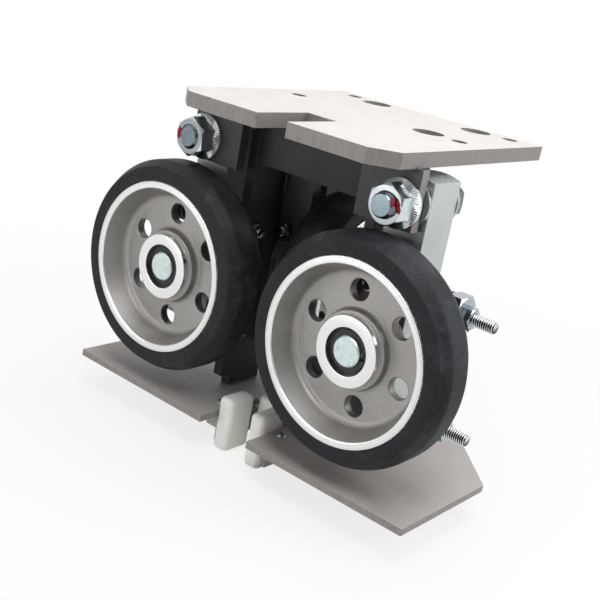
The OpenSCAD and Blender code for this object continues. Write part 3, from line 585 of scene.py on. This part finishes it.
topPlate = plateFinish("blastedPlate", 2, (1.25, 1.275, 1.28), 0.3)
guardPlate = plateFinish("blastedGuard", 2)
bracketPlate = plateFinish("sheetBracket", None, (0.72, 0.74, 0.75))
# the upright, stud, cross and ear plates take the plate steel toned far darker: painted shade for the frame's shaded
# inside
uprightPlate = plateFinish("paintedShadeUpright", None, (0.115, 0.124, 0.128), 0.25)
studPlate = plateFinish("paintedShadeStudPlate", None, (0.240, 0.258, 0.266), 0.30)
crossPlate = plateFinish("paintedShadeCross", None, (0.055, 0.059, 0.061), 0.25)
earPlate = plateFinish("paintedShadeEar", 1, (0.120, 0.128, 0.132), 0.30, True)
rearEarPlate = plateFinish("paintedShadeRearEar", 0, (0.120, 0.128, 0.132), 0.30, True)
leverZinc = leverFinish()
brightZinc = zincFinish("brightZinc", (0.45, 0.50, 0.53), 0.14)
boltZinc = zincFinish("boltZinc", (0.175, 0.213, 0.236), 0.18, grooveShading=0.6)
studZinc = threadFinish("studZinc", studThread["pitch"])
nutZinc = zincFinish("nutZinc", (0.70, 0.75, 0.78), 0.15, endFaceShade=0.42)
# a darker copy of the zinc: painted shade for the nuts inside the frame
shadeZinc = zincFinish("shadeZinc", (0.13, 0.14, 0.145), 0.30)
screwZinc = zincFinish("screwZinc", (0.30, 0.315, 0.32), 0.42)
axleZinc = zincFinish("axleZinc", (0.63, 0.73, 0.72), 0.32, depth=0.05 * mm, spread=0.78, scale=420)
castWheel = wheelFinish()
tyreRubber = tyreFinish()
ivoryNylon = cloudyFinish("ivoryNylon", nylonLook["glow"], nylonLook["colours"], nylonLook["rough"], nylonLook)
springBlack = darkFinish("springBlack", (0.030, 0.030, 0.032), 0.42, 0.4)
sealBlack = darkFinish("sealBlack", (0.014, 0.014, 0.015), 0.40, 0.0)
bushBronze = darkFinish("bushBronze", (0.55, 0.36, 0.16), 0.36, 1.0)
paintRed = darkFinish("paintRed", (0.25, 0.006, 0.014), 0.30, 0.0, 0.2)
weldSteel = darkFinish("weldSteel", (0.075, 0.078, 0.080), 0.45, 0.3)
print("finishes ready")


# plates and levers

plates = {"edge": 0.5 * mm, "sheetEdge": 0.35 * mm, "leverEdge": 0.7 * mm, "leverSteps": 3, "ringEdge": 0.25 * mm,
          "sealEdge": 0.15 * mm}

framePlates = (
    ("base_plate", "basePlate", "edge", topPlate),
    ("guard_plate", "guardPlate", "sheetEdge", guardPlate),
    ("pad_bracket", "padBracket", "sheetEdge", bracketPlate),
    ("left_ear", "leftEar", "edge", earPlate),
    ("right_ear", "rightEar", "edge", earPlate),
    ("rear_ear", "rearEar", "edge", rearEarPlate),
    ("cross_plate", "crossPlate", "edge", crossPlate),
    ("left_side_plate", "leftSidePlate", "edge", uprightPlate),
    ("right_side_plate", "rightSidePlate", "edge", uprightPlate),
    ("rear_stud_plate", "rearStudPlate", "edge", studPlate),
)
for nodeName, name, edge, finish in framePlates:
    dressSolid(nodeName, name, plates[edge], finish, "frame")
for side in sides:
    dressSolid(side + "_lever", side + "Lever", plates["leverEdge"], leverZinc, side + "_arm",
               plates["leverSteps"])
    dressSolid(side + "_bush", side + "Bush", plates["ringEdge"], bushBronze, side + "_arm")
dressSolid("pivot_washers", "pivotWashers", plates["ringEdge"], brightZinc, "frame")
dressSolid("stop_collars", "stopCollars", plates["ringEdge"], brightZinc, "frame")
print("plates and levers dressed")


# rollers: radius and distance along the axle from the tyre's middle, in millimetres

wheel = {"rim": 60.0, "ring": 55.5, "front": -17.0, "back": 17.0, "hub": 23.0, "boss": 25.5, "hubFace": -11.0,
         "noseEnd": -6.0, "web": 0.5, "webBack": 7.5, "dish": 49.5, "dishBack": 50.1, "mouth": 15.5, "seat": 21.01,
         "bearingFront": -6.0, "bearingBack": 18.01, "groove": 58.85, "grooveWall": 58.95, "grooveEdge": 59.1,
         "grooveEnd": 59.2, "grooveFloor": -16.7, "holes": 6, "holeRadius": 7.0, "holeCircle": 37.5, "holeLip": 0.9,
         "lipSteps": 6, "drillOver": 6, "holeSegments": 40, "segments": 192, "roundSteps": 6,
         "turn": {"left": 27.0, "right": -40.0, "rear": -40.0}}


def wheelProfile():
    corners = (("mouth", "hubFace", 0.4), ("hub", "hubFace", 0.7), ("hub", "noseEnd", 0.5), ("boss", "noseEnd", 1.0),
               ("boss", "web", 3.0), ("dish", "web", 3.9), ("ring", "front", 0.8), ("groove", "front", 0.0),
               ("grooveWall", "grooveFloor", 0.0), ("grooveEdge", "grooveFloor", 0.0), ("grooveEnd", "front", 0.0),
               ("rim", "front", 0.35), ("rim", "back", 0.35), ("ring", "back", 0.7), ("dishBack", "webBack", 3.0),
               ("boss", "webBack", 3.0), ("boss", "bearingBack", 0.5), ("seat", "bearingBack", 0.3),
               ("seat", "bearingFront", 0.0), ("mouth", "bearingFront", 0.3))
    return rounded([(wheel[r], wheel[h], rounding) for r, h, rounding in corners], wheel["roundSteps"])


def holeCutter(bm, centre):
    w = wheel
    lip, steps = w["holeLip"], w["lipSteps"]
    front, back = w["web"] - w["drillOver"], w["webBack"] + w["drillOver"]
    profile = [(0.0, front), (w["holeRadius"] + lip, front)]
    for i in range(steps + 1):
        a = math.pi / 2 * i / steps
        profile.append((w["holeRadius"] + lip * (1 - math.sin(a)), w["web"] + lip * (1 - math.cos(a))))
    for i in range(steps + 1):
        a = math.pi / 2 * (1 - i / steps)
        profile.append((w["holeRadius"] + lip * (1 - math.sin(a)), w["webBack"] - lip * (1 - math.cos(a))))
    profile += [(w["holeRadius"] + lip, back), (0.0, back)]
    revolve(bm, [(r * mm, h * mm) for r, h in profile], w["holeSegments"], Matrix.Translation(centre))


def wheelMesh():
    body, cutter = bmesh.new(), bmesh.new()
    revolve(body, wheelProfile(), wheel["segments"], closed=True)
    for turn in allTurns(wheel["holes"]):
        holeCutter(cutter, ringPoint(1, turn, 0) * wheel["holeCircle"] * mm)
    blank = addObject("wheelBlank", meshFrom("wheelBlank", body))
    drill = addObject("wheelDrill", meshFrom("wheelDrill", cutter))
    cut = blank.modifiers.new("drill", "BOOLEAN")
    cut.operation = "DIFFERENCE"
    cut.solver = "EXACT"
    cut.object = drill
    result = appliedMesh(blank)
    bpy.data.objects.remove(blank)
    bpy.data.objects.remove(drill)
    return result


tyre = {"rim": 60.01, "tread": 75.0, "wall": 70.0, "front": -16.0, "frontBevel": -8.0, "backBevel": 8.0, "back": 17.0,
        "rimRound": 0.15, "wallRound": 0.9, "treadRound": 1.6, "roundSteps": 4, "segments": 256}


def tyreMesh():
    t = tyre
    corners = [(t["rim"], t["front"], t["rimRound"]), (t["wall"], t["front"], t["wallRound"]),
               (t["tread"], t["frontBevel"], t["treadRound"]), (t["tread"], t["backBevel"], t["treadRound"]),
               (t["wall"], t["back"], t["wallRound"]), (t["rim"], t["back"], t["rimRound"])]
    bm = bmesh.new()
    revolve(bm, rounded(corners, t["roundSteps"]), t["segments"], closed=True)
    return meshFrom("tyre", bm)


axle = {"radius": 10.0, "face": -10.7, "bevel": 0.8, "grooveFront": -7.5, "grooveBack": -6.3, "grooveRadius": 9.4,
        "collar": 14.0, "collarFront": 18.31, "leverFace": 26.0, "tail": 8.0, "tailEnd": 72.0, "segments": 72,
        "sharp": 32}


def axleMesh():
    a = axle
    points = [(0.0, a["face"]), (a["radius"] - a["bevel"], a["face"]), (a["radius"], a["face"] + a["bevel"]),
              (a["radius"], a["grooveFront"]), (a["grooveRadius"], a["grooveFront"]),
              (a["grooveRadius"], a["grooveBack"]), (a["radius"], a["grooveBack"]), (a["radius"], a["collarFront"]),
              (a["collar"], a["collarFront"]), (a["collar"], a["leverFace"]), (a["tail"], a["leverFace"]),
              (a["tail"], a["tailEnd"] - a["bevel"]), (a["tail"] - a["bevel"], a["tailEnd"]), (0.0, a["tailEnd"])]
    bm = bmesh.new()
    revolve(bm, [(r * mm, h * mm) for r, h in points], a["segments"])
    return bm


wheelShape, tyreShape = wheelMesh(), tyreMesh()
for side in sides:
    arm, roller = side + "_arm", side + "_roller"
    seat = axisMatrix(middle(side + "_tyre"), axial[side], outward[side])
    turned = seat @ Matrix.Rotation(math.radians(wheel["turn"][side]), 4, "Z")
    finishPiece(side + "Wheel", wheelShape.copy(), castWheel, roller, (side + "_wheel",), turned)
    finishPiece(side + "Tyre", tyreShape.copy(), tyreRubber, roller, (side + "_tyre",), seat)
    hardware(side + "Axle", axleMesh(), axleZinc, side + "_axle", axle["sharp"], seat, arm)
    dressSolid(side + "_bearings", side + "Bearings", plates["sealEdge"], sealBlack, roller)
    dressSolid(side + "_ring", side + "RetainingRing", plates["sealEdge"], springBlack, arm)
print("rollers made")


# nuts, bolts, studs

def hexRadius(flats, turn):
    return flats / 2 / math.cos((turn + math.pi / 6) % (math.pi / 3) - math.pi / 6)


nutShape = {"chamfer": math.radians(30), "face": 0.985, "sink": 0.6 * mm, "sinkShare": 0.08,
            "under": (0.96, 0.98), "dropEnd": 1.02, "flangeFoot": 0.2 * mm, "flangeLip": 0.15 * mm}


def hexNut(bm, flats, height, bore, matrix, flange=None, columns=120):
    shape = nutShape
    slope = math.tan(shape["chamfer"])
    face = shape["face"] * flats / 2
    sink = min(shape["sink"], shape["sinkShare"] * flats)
    rows = [[] for _ in range(10)]  # six rings up to the flats, four from there to the bore
    for i, turn in enumerate(allTurns(columns)):
        corner = hexRadius(flats, turn)
        drop = (corner - face) * slope
        if flange:
            rim, cone, outer = flange["rim"], flange["cone"], flange["radius"]
            tooth = flange["tooth"] * (1 if i % 2 else -1)
            half = (corner + outer) / 2
            slopeAt = [rim + cone * (outer - r) / (outer - flats / 2) for r in (half, corner)]
            low = [(bore + sink, 0), (outer - shape["flangeFoot"], 0), (outer, rim * 0.5),
                   (outer - shape["flangeLip"], rim + tooth), (half, slopeAt[0] + tooth), (corner, slopeAt[1])]
        else:
            low = [(bore + sink, 0), *((face * share, 0) for share in shape["under"]), (face, 0), (corner, drop),
                   (corner, drop * shape["dropEnd"])]
        high = [(corner, height - drop), (face, height), (bore + sink, height), (bore, height - sink)]
        for row, (radius, z) in zip(rows, low + high):
            row.append(bm.verts.new(matrix @ ringPoint(radius, turn, z)))
    if bore > 0:
        gridFaces(bm, rows + [addRing(bm, matrix, bore, sink, columns)], True)
    else:  # a bolt head is closed across both faces
        gridFaces(bm, rows[1:8])
        capEnds(bm, rows[1:8])


# one turn of thread: share of the pitch, share of the depth
threadShape = {"depth": 0.6, "lead": 1.5,
               "turn": ((0.0, 0.0), (0.14, 0.0), (0.36, 0.5), (0.56, 1.0), (0.66, 1.0), (0.86, 0.5))}


def threadedRod(bm, length, radius, pitch, bevel, matrix, segments):
    depth = threadShape["depth"] * pitch
    count = len(threadShape["turn"])
    columns = (int(length / pitch) + 2) * segments
    table = []
    for i in range(columns + segments):
        turn = 2 * math.pi * i / segments
        column = []
        for share, sink in threadShape["turn"]:
            z = pitch * (i / segments + share) - threadShape["lead"] * pitch
            end = 1 if z >= length else (-1 if z <= 0 else 0)
            z = min(max(z, 0), length)
            r = min(radius - depth * sink, radius - bevel + min(z, length - z))
            column.append((bm.verts.new(matrix @ ringPoint(r, turn, z)), end))
        table.append(column)

    def at(i, k):
        return table[i][k] if k < count else table[i + segments][k - count]

    for i in range(columns - 1):
        for k in range(count):
            corners = [at(i, k), at(i + 1, k), at(i + 1, k + 1), at(i, k + 1)]
            ends = {end for _, end in corners}
            if ends != {1} and ends != {-1}:
                bm.faces.new([v for v, _ in corners])
    bmesh.ops.delete(bm, geom=[v for v in bm.verts if not v.link_faces], context="VERTS")
    bmesh.ops.holes_fill(bm, edges=[e for e in bm.edges if e.is_boundary], sides=0)


pivotSet = {"flats": 24 * mm, "flange": {"radius": 16 * mm, "rim": 2.56 * mm, "cone": 2.24 * mm, "tooth": 0.30 * mm},
            "bore": 8.0 * mm, "shank": 7.98 * mm, "shankSegments": 64, "threadRadius": 7.97 * mm, "pitch": 2.0 * mm,
            "thread": 24 * mm, "threadSegments": 48, "bevel": 1.3 * mm, "headHeight": 10 * mm,
            "shorter": {"left": 3.0 * mm, "right": 0.0, "rear": 1.5 * mm}, "sharp": 24, "boltSharp": 26}


def pivotBolt(side, front, centre):
    p = pivotSet
    low, high = reach(side + "_pivot_bolt", front)
    underHead = low + p["headHeight"]
    threadStart = high - p["thread"]
    length = threadStart - low - p["headHeight"]
    bm = bmesh.new()
    hexNut(bm, p["flats"], p["headHeight"], 0, axisMatrix(axisPoint(centre, front, underHead), -front, outward[side]))
    revolve(bm, [(0, 0), (p["shank"], 0), (p["shank"], length), (0, length)], p["shankSegments"],
            seatOn(centre, front, underHead, outward[side]))
    threadedRod(bm, p["thread"] - p["shorter"][side], p["threadRadius"], p["pitch"], p["bevel"],
                seatOn(centre, front, threadStart, outward[side]), p["threadSegments"])
    hardware(side + "PivotBolt", bm, boltZinc, side + "_pivot_bolt", p["boltSharp"])


for side in sides:
    front = -axial[side]  # nuts and bolt ends face away from the levers
    nodeName = side + "_pivot_nut"
    centre = middle(nodeName)
    low, high = reach(nodeName, front)
    seat = seatOn(centre, front, low, outward[side])
    bm = bmesh.new()
    hexNut(bm, pivotSet["flats"], high - low, pivotSet["bore"], Matrix(), pivotSet["flange"])
    hardware(side + "PivotNut", bm, nutZinc, nodeName, pivotSet["sharp"], seat)
    pivotBolt(side, front, centre)
    nodeName = side + "_axle_nut"
    low, high = reach(nodeName, axial[side])
    seat = seatOn(middle(nodeName), axial[side], low, outward[side])
    bm = bmesh.new()
    hexNut(bm, pivotSet["flats"], high - low, pivotSet["bore"], seat)
    hardware(side + "AxleNut", bm, brightZinc, nodeName, pivotSet["sharp"], body=side + "_arm")
    for kind in ("spring", "stop"):
        nodeName = side + "_" + kind + "_stud"
        low, high = reach(nodeName, outward[side])
        seat = seatOn(middle(nodeName), outward[side], low, up)
        bm = bmesh.new()
        threadedRod(bm, high - low, studThread["radius"], studThread["pitch"], studThread["bevel"], Matrix(),
                    studThread["segments"])
        hardware(side + kind.capitalize() + "Stud", bm, studZinc, nodeName, studThread["sharp"], seat)

studSet = {"bore": 4.0 * mm, "flange": {"radius": 9 * mm, "rim": 1.28 * mm, "cone": 1.12 * mm, "tooth": 0.10 * mm},
           "springFlats": 24 * mm, "flats": 13 * mm, "columns": 72, "sharp": 24}


def nutRow(nodeName, name, flats, flange=None):
    bm = bmesh.new()
    for low, high in solidBoxes(nodeName):
        centre = (low + high) / 2
        way = outward[stationOf(centre)]
        start, end = boxReach(low, high, way)
        hexNut(bm, flats, end - start, studSet["bore"], seatOn(centre, way, start, up), flange, studSet["columns"])
    row = hardware(name, bm, brightZinc, nodeName, studSet["sharp"])
    row.data.materials.append(shadeZinc)  # the nuts between the uprights take a darker copy of the zinc: painted shade
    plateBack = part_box("rear_stud_plate")[1].y
    for face in row.data.polygons:
        inside = stationOf(face.center) == "rear" and face.center.y < plateBack
        face.material_index = 1 if inside else 0


nutRow("stud_nuts", "studNuts", studSet["flats"], studSet["flange"])
nutRow("jam_nuts", "jamNuts", studSet["flats"])
nutRow("spring_nuts", "springNuts", studSet["springFlats"])
print("nuts, bolts and studs made")


# springs

spring = {"wire": 3.8 * mm, "turns": 3.0, "sides": 14, "perTurn": 40, "keep": 0.846}


def coilMesh(length, coilRadius, seat):
    wire = spring["wire"] / 2
    steps = int(spring["turns"] * spring["perTurn"])
    bm = bmesh.new()
    rows = []
    for i in range(steps + 1):
        t = i / steps
        turn = 2 * math.pi * spring["turns"] * t
        rise = wire + (length - spring["wire"]) * t
        rows.append([bm.verts.new(seat @ ringPoint(coilRadius + wire * math.cos(a), turn, rise + wire * math.sin(a)))
                     for a in allTurns(spring["sides"])])
    gridFaces(bm, rows)
    capEnds(bm, rows)
    return bm


for side in sides:
    nodeName = side + "_spring"
    low, high = reach(nodeName, outward[side])
    centre = middle(nodeName)
    seat = seatOn(centre, outward[side], low, up)
    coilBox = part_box(nodeName)
    coilRadius = (coilBox[1].z - coilBox[0].z - spring["wire"]) / 2
    bm = coilMesh(high - low, coilRadius, seat)
    coil = makePiece(side + "Spring", bm, springBlack, "frame", (nodeName,))
    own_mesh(coil)
print("springs made")


# pads and small screws

pad = {"round": 3.7 * mm, "steps": 6, "sharp": 60}

for nodeName, name in (("left_pad", "leftPad"), ("right_pad", "rightPad"), ("nose_pad", "nosePad")):
    low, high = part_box(nodeName)
    block = Matrix.Translation((low + high) / 2) @ Matrix.Diagonal((*(high - low), 1))
    bm = bmesh.new()
    bmesh.ops.create_cube(bm, size=1, matrix=block)
    roundEdges(bm, list(bm.edges), pad["round"], pad["steps"])
    makePiece(name, bm, ivoryNylon, "frame", (nodeName,), sharpAngle=pad["sharp"])

screw = {"shank": 2.0 * mm, "shankSegments": 32, "pitch": 0.7 * mm, "bevel": 0.3 * mm, "threadSegments": 20,
         "head": 3.5 * mm, "headHeight": 2.2 * mm, "headSegments": 24, "under": 0.1 * mm, "rim": 0.5 * mm,
         "dome": (0.86, 0.68), "crown": 0.6, "socket": 1.25 * mm, "socketDepth": 1.2 * mm,
         "nutFlats": 7 * mm, "nutHeight": 3 * mm, "nutColumns": 72, "end": 1 * mm, "sharp": 30}


def buttonHead(bm, matrix):
    s = screw
    top = s["headHeight"]
    turns = allTurns(s["headSegments"])
    # from the underside over the dome and down into the socket, whose radius follows the hexagon
    profile = ((s["head"] - s["under"], 0), (s["head"], s["rim"]), (s["head"] * s["dome"][0], top * s["dome"][1]),
               (s["head"] * s["crown"], top), (None, top), (None, top - s["socketDepth"]))
    rows = [[bm.verts.new(matrix @ ringPoint(radius or hexRadius(2 * s["socket"], turn), turn, z)) for turn in turns]
            for radius, z in profile]
    gridFaces(bm, rows)
    capEnds(bm, rows)


bm = bmesh.new()
for low, high in solidBoxes("pad_screws"):
    centre = (low + high) / 2
    size = high - low
    way = Vector((0, 1, 0)) if size.y > size.x else Vector((1 if centre.x > 0 else -1, 0, 0))
    start, end = boxReach(low, high, way)
    seat = seatOn(centre, way, end - screw["headHeight"], up)
    buttonHead(bm, seat)
    bite = end - start - screw["headHeight"]
    revolve(bm, [(0, -bite), (screw["shank"], -bite), (screw["shank"], 0), (0, 0)], screw["shankSegments"], seat)
hardware("padScrews", bm, screwZinc, "pad_screws", screw["sharp"])

bm = bmesh.new()
for low, high in solidBoxes("guard_screws"):
    centre = (low + high) / 2
    underHead = high.z - screw["headHeight"]
    headSeat, foot, nutSeat = (axisMatrix(Vector((centre.x, centre.y, z)), up, Vector((1, 0, 0)))
                               for z in (underHead, low.z, low.z + screw["end"]))
    buttonHead(bm, headSeat)
    threadedRod(bm, underHead - low.z, screw["shank"], screw["pitch"], screw["bevel"], foot, screw["threadSegments"])
    hexNut(bm, screw["nutFlats"], screw["nutHeight"], screw["shank"], nutSeat, None, screw["nutColumns"])
hardware("guardScrews", bm, screwZinc, "guard_screws", screw["sharp"])
print("pads and screws made")


# paint marks across nuts and bolt ends

paint = {"long": 3.3 * mm, "wide": 1.7 * mm, "thick": 0.6 * mm, "lump": 0.5, "lumpScale": 1.7, "seed": 7, "drift": 90,
         "detail": 4, "sharp": 60, "studNut": {"beyond": 0.1, "above": -0.12}}


def paintMark(name, start, offset, normal, along, scale=1.0):
    centre = Vector([start[i] + offset[i] * mm for i in range(3)])
    seat = axisMatrix(centre, Vector(normal), Vector(along))
    shift = Vector((paint["seed"], centre.x * paint["drift"], 0))
    bm = bmesh.new()
    bmesh.ops.create_icosphere(bm, subdivisions=paint["detail"], radius=1)
    for vert in bm.verts:
        lump = 1 + paint["lump"] * noise.noise(vert.co * paint["lumpScale"] + shift)
        point = vert.co * lump * scale
        vert.co = seat @ Vector((point.x * paint["long"], point.y * paint["wide"], point.z * paint["thick"]))
    makePiece(name, bm, paintRed, "frame", sharpAngle=paint["sharp"])


def nutFront(nodeName):
    centre = middle(nodeName)
    return centre.x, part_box(nodeName)[0].y, centre.z


rightFront, leftFront = nutFront("right_pivot_nut"), nutFront("left_pivot_nut")
stud = middle("right_spring_stud")
limits = paint["studNut"]  # picks the nut outside the right spring
springJam = [nut for nut in solidBoxes("jam_nuts") if nut[1].x > limits["beyond"] and nut[0].z > limits["above"]][0]
springEnd = springJam[1].x, stud.y, stud.z
paintMark("rightPivotPaint", rightFront, (9.0, 0, 1.0), (0, -1, 0), (0.6, 0, -1))
paintMark("rightBoltPaint", rightFront, (7.4, -2.2, 3.4), (1, 0, 0.4), (0, 0.6, 1), 0.8)
paintMark("leftPivotPaint", leftFront, (-9.6, 0, 0.5), (0, -1, 0), (0.12, 0, 1), 1.2)
paintMark("springStudPaint", springEnd, (-0.4, -3.2, -5.0), (1, 0, 0), (0, 0.4, 1), 0.75)
print("paint marks made")


# weld seams between the frame's plates

weld = {"radius": 2.3 * mm, "ripple": 0.16, "pitch": 2.4 * mm, "perPitch": 5, "sides": 12, "endTaper": 0.25,
        "fewest": 8, "roll": (0.3, 0.5, 0.81), "wander": 0.12, "wanderScale": 150, "inset": 3 * mm,
        "footInset": 11 * mm, "studPlate": ((-0.022, -0.070), (-0.112, -0.150)), "sharp": 70}


def weldSeam(bm, start, end, seed):
    start, line = Vector(start), Vector(end) - Vector(start)
    matrix = axisMatrix(start, line, Vector(weld["roll"]))
    count = max(weld["fewest"], int(line.length / (weld["pitch"] / weld["perPitch"])))
    rows = []
    for i in range(count + 1):
        z = line.length * i / count
        phase = (z / weld["pitch"]) % 1
        taper = min(1, min(z, line.length - z) / (2 * weld["radius"]) + weld["endTaper"])
        wander = weld["wander"] * noise.noise(Vector((z * weld["wanderScale"], seed, 0)))
        radius = weld["radius"] * taper * (1 + weld["ripple"] * (phase - 0.5) + wander)
        rows.append(addRing(bm, matrix, radius, z, weld["sides"]))
    gridFaces(bm, rows)
    capEnds(bm, rows)


bm = bmesh.new()
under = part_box("base_plate")[0].z
inset, footInset = weld["inset"], weld["footInset"]
for side in ("left", "right"):
    low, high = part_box(side + "_ear")
    weldSeam(bm, (low.x + inset, low.y, under), (high.x - inset, low.y, under), 1)
    low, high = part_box(side + "_side_plate")
    outer, inner = (low.x, high.x) if side == "left" else (high.x, low.x)
    weldSeam(bm, (outer, low.y + inset, under), (outer, high.y - inset, under), 2)
    weldSeam(bm, (inner, low.y + footInset, low.z), (inner, high.y - footInset, low.z), 3)
low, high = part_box("rear_ear")
weldSeam(bm, (high.x, low.y + inset, under), (high.x, high.y - inset, under), 4)
low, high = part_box("cross_plate")
weldSeam(bm, (low.x + inset, high.y, under), (high.x - inset, high.y, under), 5)
low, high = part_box("rear_stud_plate")
for top, bottom in weld["studPlate"]:
    weldSeam(bm, (low.x, low.y, top), (low.x, low.y, bottom), 6)
makePiece("weldSeams", bm, weldSteel, "frame", sharpAngle=weld["sharp"])
print("weld seams made")


# stage: floor, world, lamps, camera

stage = {"gap": 1.2 * mm, "size": 6.0, "near": 0.10, "far": 0.55, "nearWhite": 0.78, "matt": (0.86, 0.86, 0.86, 1)}
white = (1, 1, 1, 1)


def lightRays(tree):
    path = addNode(tree, "ShaderNodeLightPath").outputs
    seen = maths(tree, "MAXIMUM", path["Is Camera Ray"], path["Is Glossy Ray"])
    return path["Is Camera Ray"], maths(tree, "MAXIMUM", seen, path["Is Transmission Ray"])


def floorFinish():
    finish = bpy.data.materials.new("paleFloor")
    finish.use_nodes = True
    tree = finish.node_tree
    tree.nodes.clear()
    seen = lightRays(tree)[1]
    distance = addNode(tree, "ShaderNodeVectorMath", {0: objectPlace(tree)}, operation="LENGTH").outputs["Value"]
    share = times(tree, seen, span(tree, distance, stage["near"], stage["far"], stage["nearWhite"], 1.0))
    matt = addNode(tree, "ShaderNodeBsdfDiffuse", {"Color": stage["matt"]}).outputs[0]
    glow = addNode(tree, "ShaderNodeEmission", {"Color": white, "Strength": 1.0}).outputs[0]
    mixed = addNode(tree, "ShaderNodeMixShader", {0: share, 1: matt, 2: glow}).outputs[0]
    addNode(tree, "ShaderNodeOutputMaterial", {"Surface": mixed})
    return finish


floorMesh = bpy.data.meshes.new("floor")
half = stage["size"] / 2
floorMesh.from_pydata([(-half, -half, 0), (half, -half, 0), (half, half, 0), (-half, half, 0)], [], [(0, 1, 2, 3)])
floorMesh.materials.append(floorFinish())
floor = addObject("floor", floorMesh)
floor.location.z = cadBox[0][2] - stage["gap"]

studio = {"ambient": (-0.2, 0.9, 0.03, 0.12), "wallLean": 0.9, "wall": (-0.9, 0.35, 0.07, 1.0)}

world = bpy.data.worlds.new("studio")
bpy.context.scene.world = world
world.use_nodes = True
tree = world.node_tree
tree.nodes.clear()
cameraRay, seen = lightRays(tree)
parts = xyzOf(tree, addNode(tree, "ShaderNodeTexCoord").outputs["Generated"])
ambient = span(tree, parts[2], *studio["ambient"])
leaning = maths(tree, "ADD", parts[1], times(tree, parts[2], studio["wallLean"]))
mirrorWall = span(tree, leaning, *studio["wall"])  # what bright metal reflects
brightness = blendValue(tree, cameraRay, blendValue(tree, seen, ambient, mirrorWall), 1.0)
glow = addNode(tree, "ShaderNodeBackground", {"Color": white, "Strength": brightness}).outputs[0]
addNode(tree, "ShaderNodeOutputWorld", {"Surface": glow})

lamps = {
    "topBox": {"place": (0.02, 0.03, 0.62), "aim": (0.0, 0.0, -0.05), "size": 0.75, "power": 5.7},
    "rightBox": {"place": (0.80, 0.42, 0.28), "aim": (0.05, 0.0, -0.10), "size": 0.6, "power": 4.2},
    "frontBox": {"place": (-0.42, -0.78, 0.66), "aim": (0.0, 0.0, -0.12), "size": 0.6, "power": 0.4},
    "rimBox": {"place": (0.40, -0.52, 0.82), "aim": (-0.05, 0.0, -0.15), "size": 0.40, "power": 3.8},
    "lowBox": {"place": (-0.38, -0.95, -0.12), "aim": (0.0, 0.0, -0.15), "size": 0.7, "power": 3.9},
}
for name, lamp in lamps.items():
    light = bpy.data.lights.new(name, "AREA")
    light.shape = "SQUARE"
    light.size = lamp["size"]
    light.energy = lamp["power"]
    bulb = addObject(name, light)
    bulb.location = lamp["place"]
    bulb.rotation_euler = (Vector(lamp["aim"]) - Vector(lamp["place"])).to_track_quat("-Z", "Y").to_euler()

view = {"place": (0.41215, -0.58405, 0.09627), "azimuth": 36.74, "elevation": 18.16, "roll": 10.71, "lens": 62.09,
        "sensor": 36}
turn, lift, roll = (math.radians(view[key]) for key in ("azimuth", "elevation", "roll"))
back = Vector((math.sin(turn) * math.cos(lift), -math.cos(turn) * math.cos(lift), math.sin(lift)))
right = (-back).cross(up).normalized()
above = right.cross(-back)
camX = right * math.cos(roll) + above * math.sin(roll)
camY = above * math.cos(roll) - right * math.sin(roll)
lens = bpy.data.cameras.new("camera")
lens.lens = view["lens"]
lens.sensor_width = view["sensor"]
camera = addObject("camera", lens)
camera.matrix_world = Matrix([(camX[i], camY[i], back[i], view["place"][i]) for i in range(3)] + [(0, 0, 0, 1)])
bpy.context.scene.camera = camera
bpy.context.scene.view_settings.view_transform = "Standard"
print("stage ready")
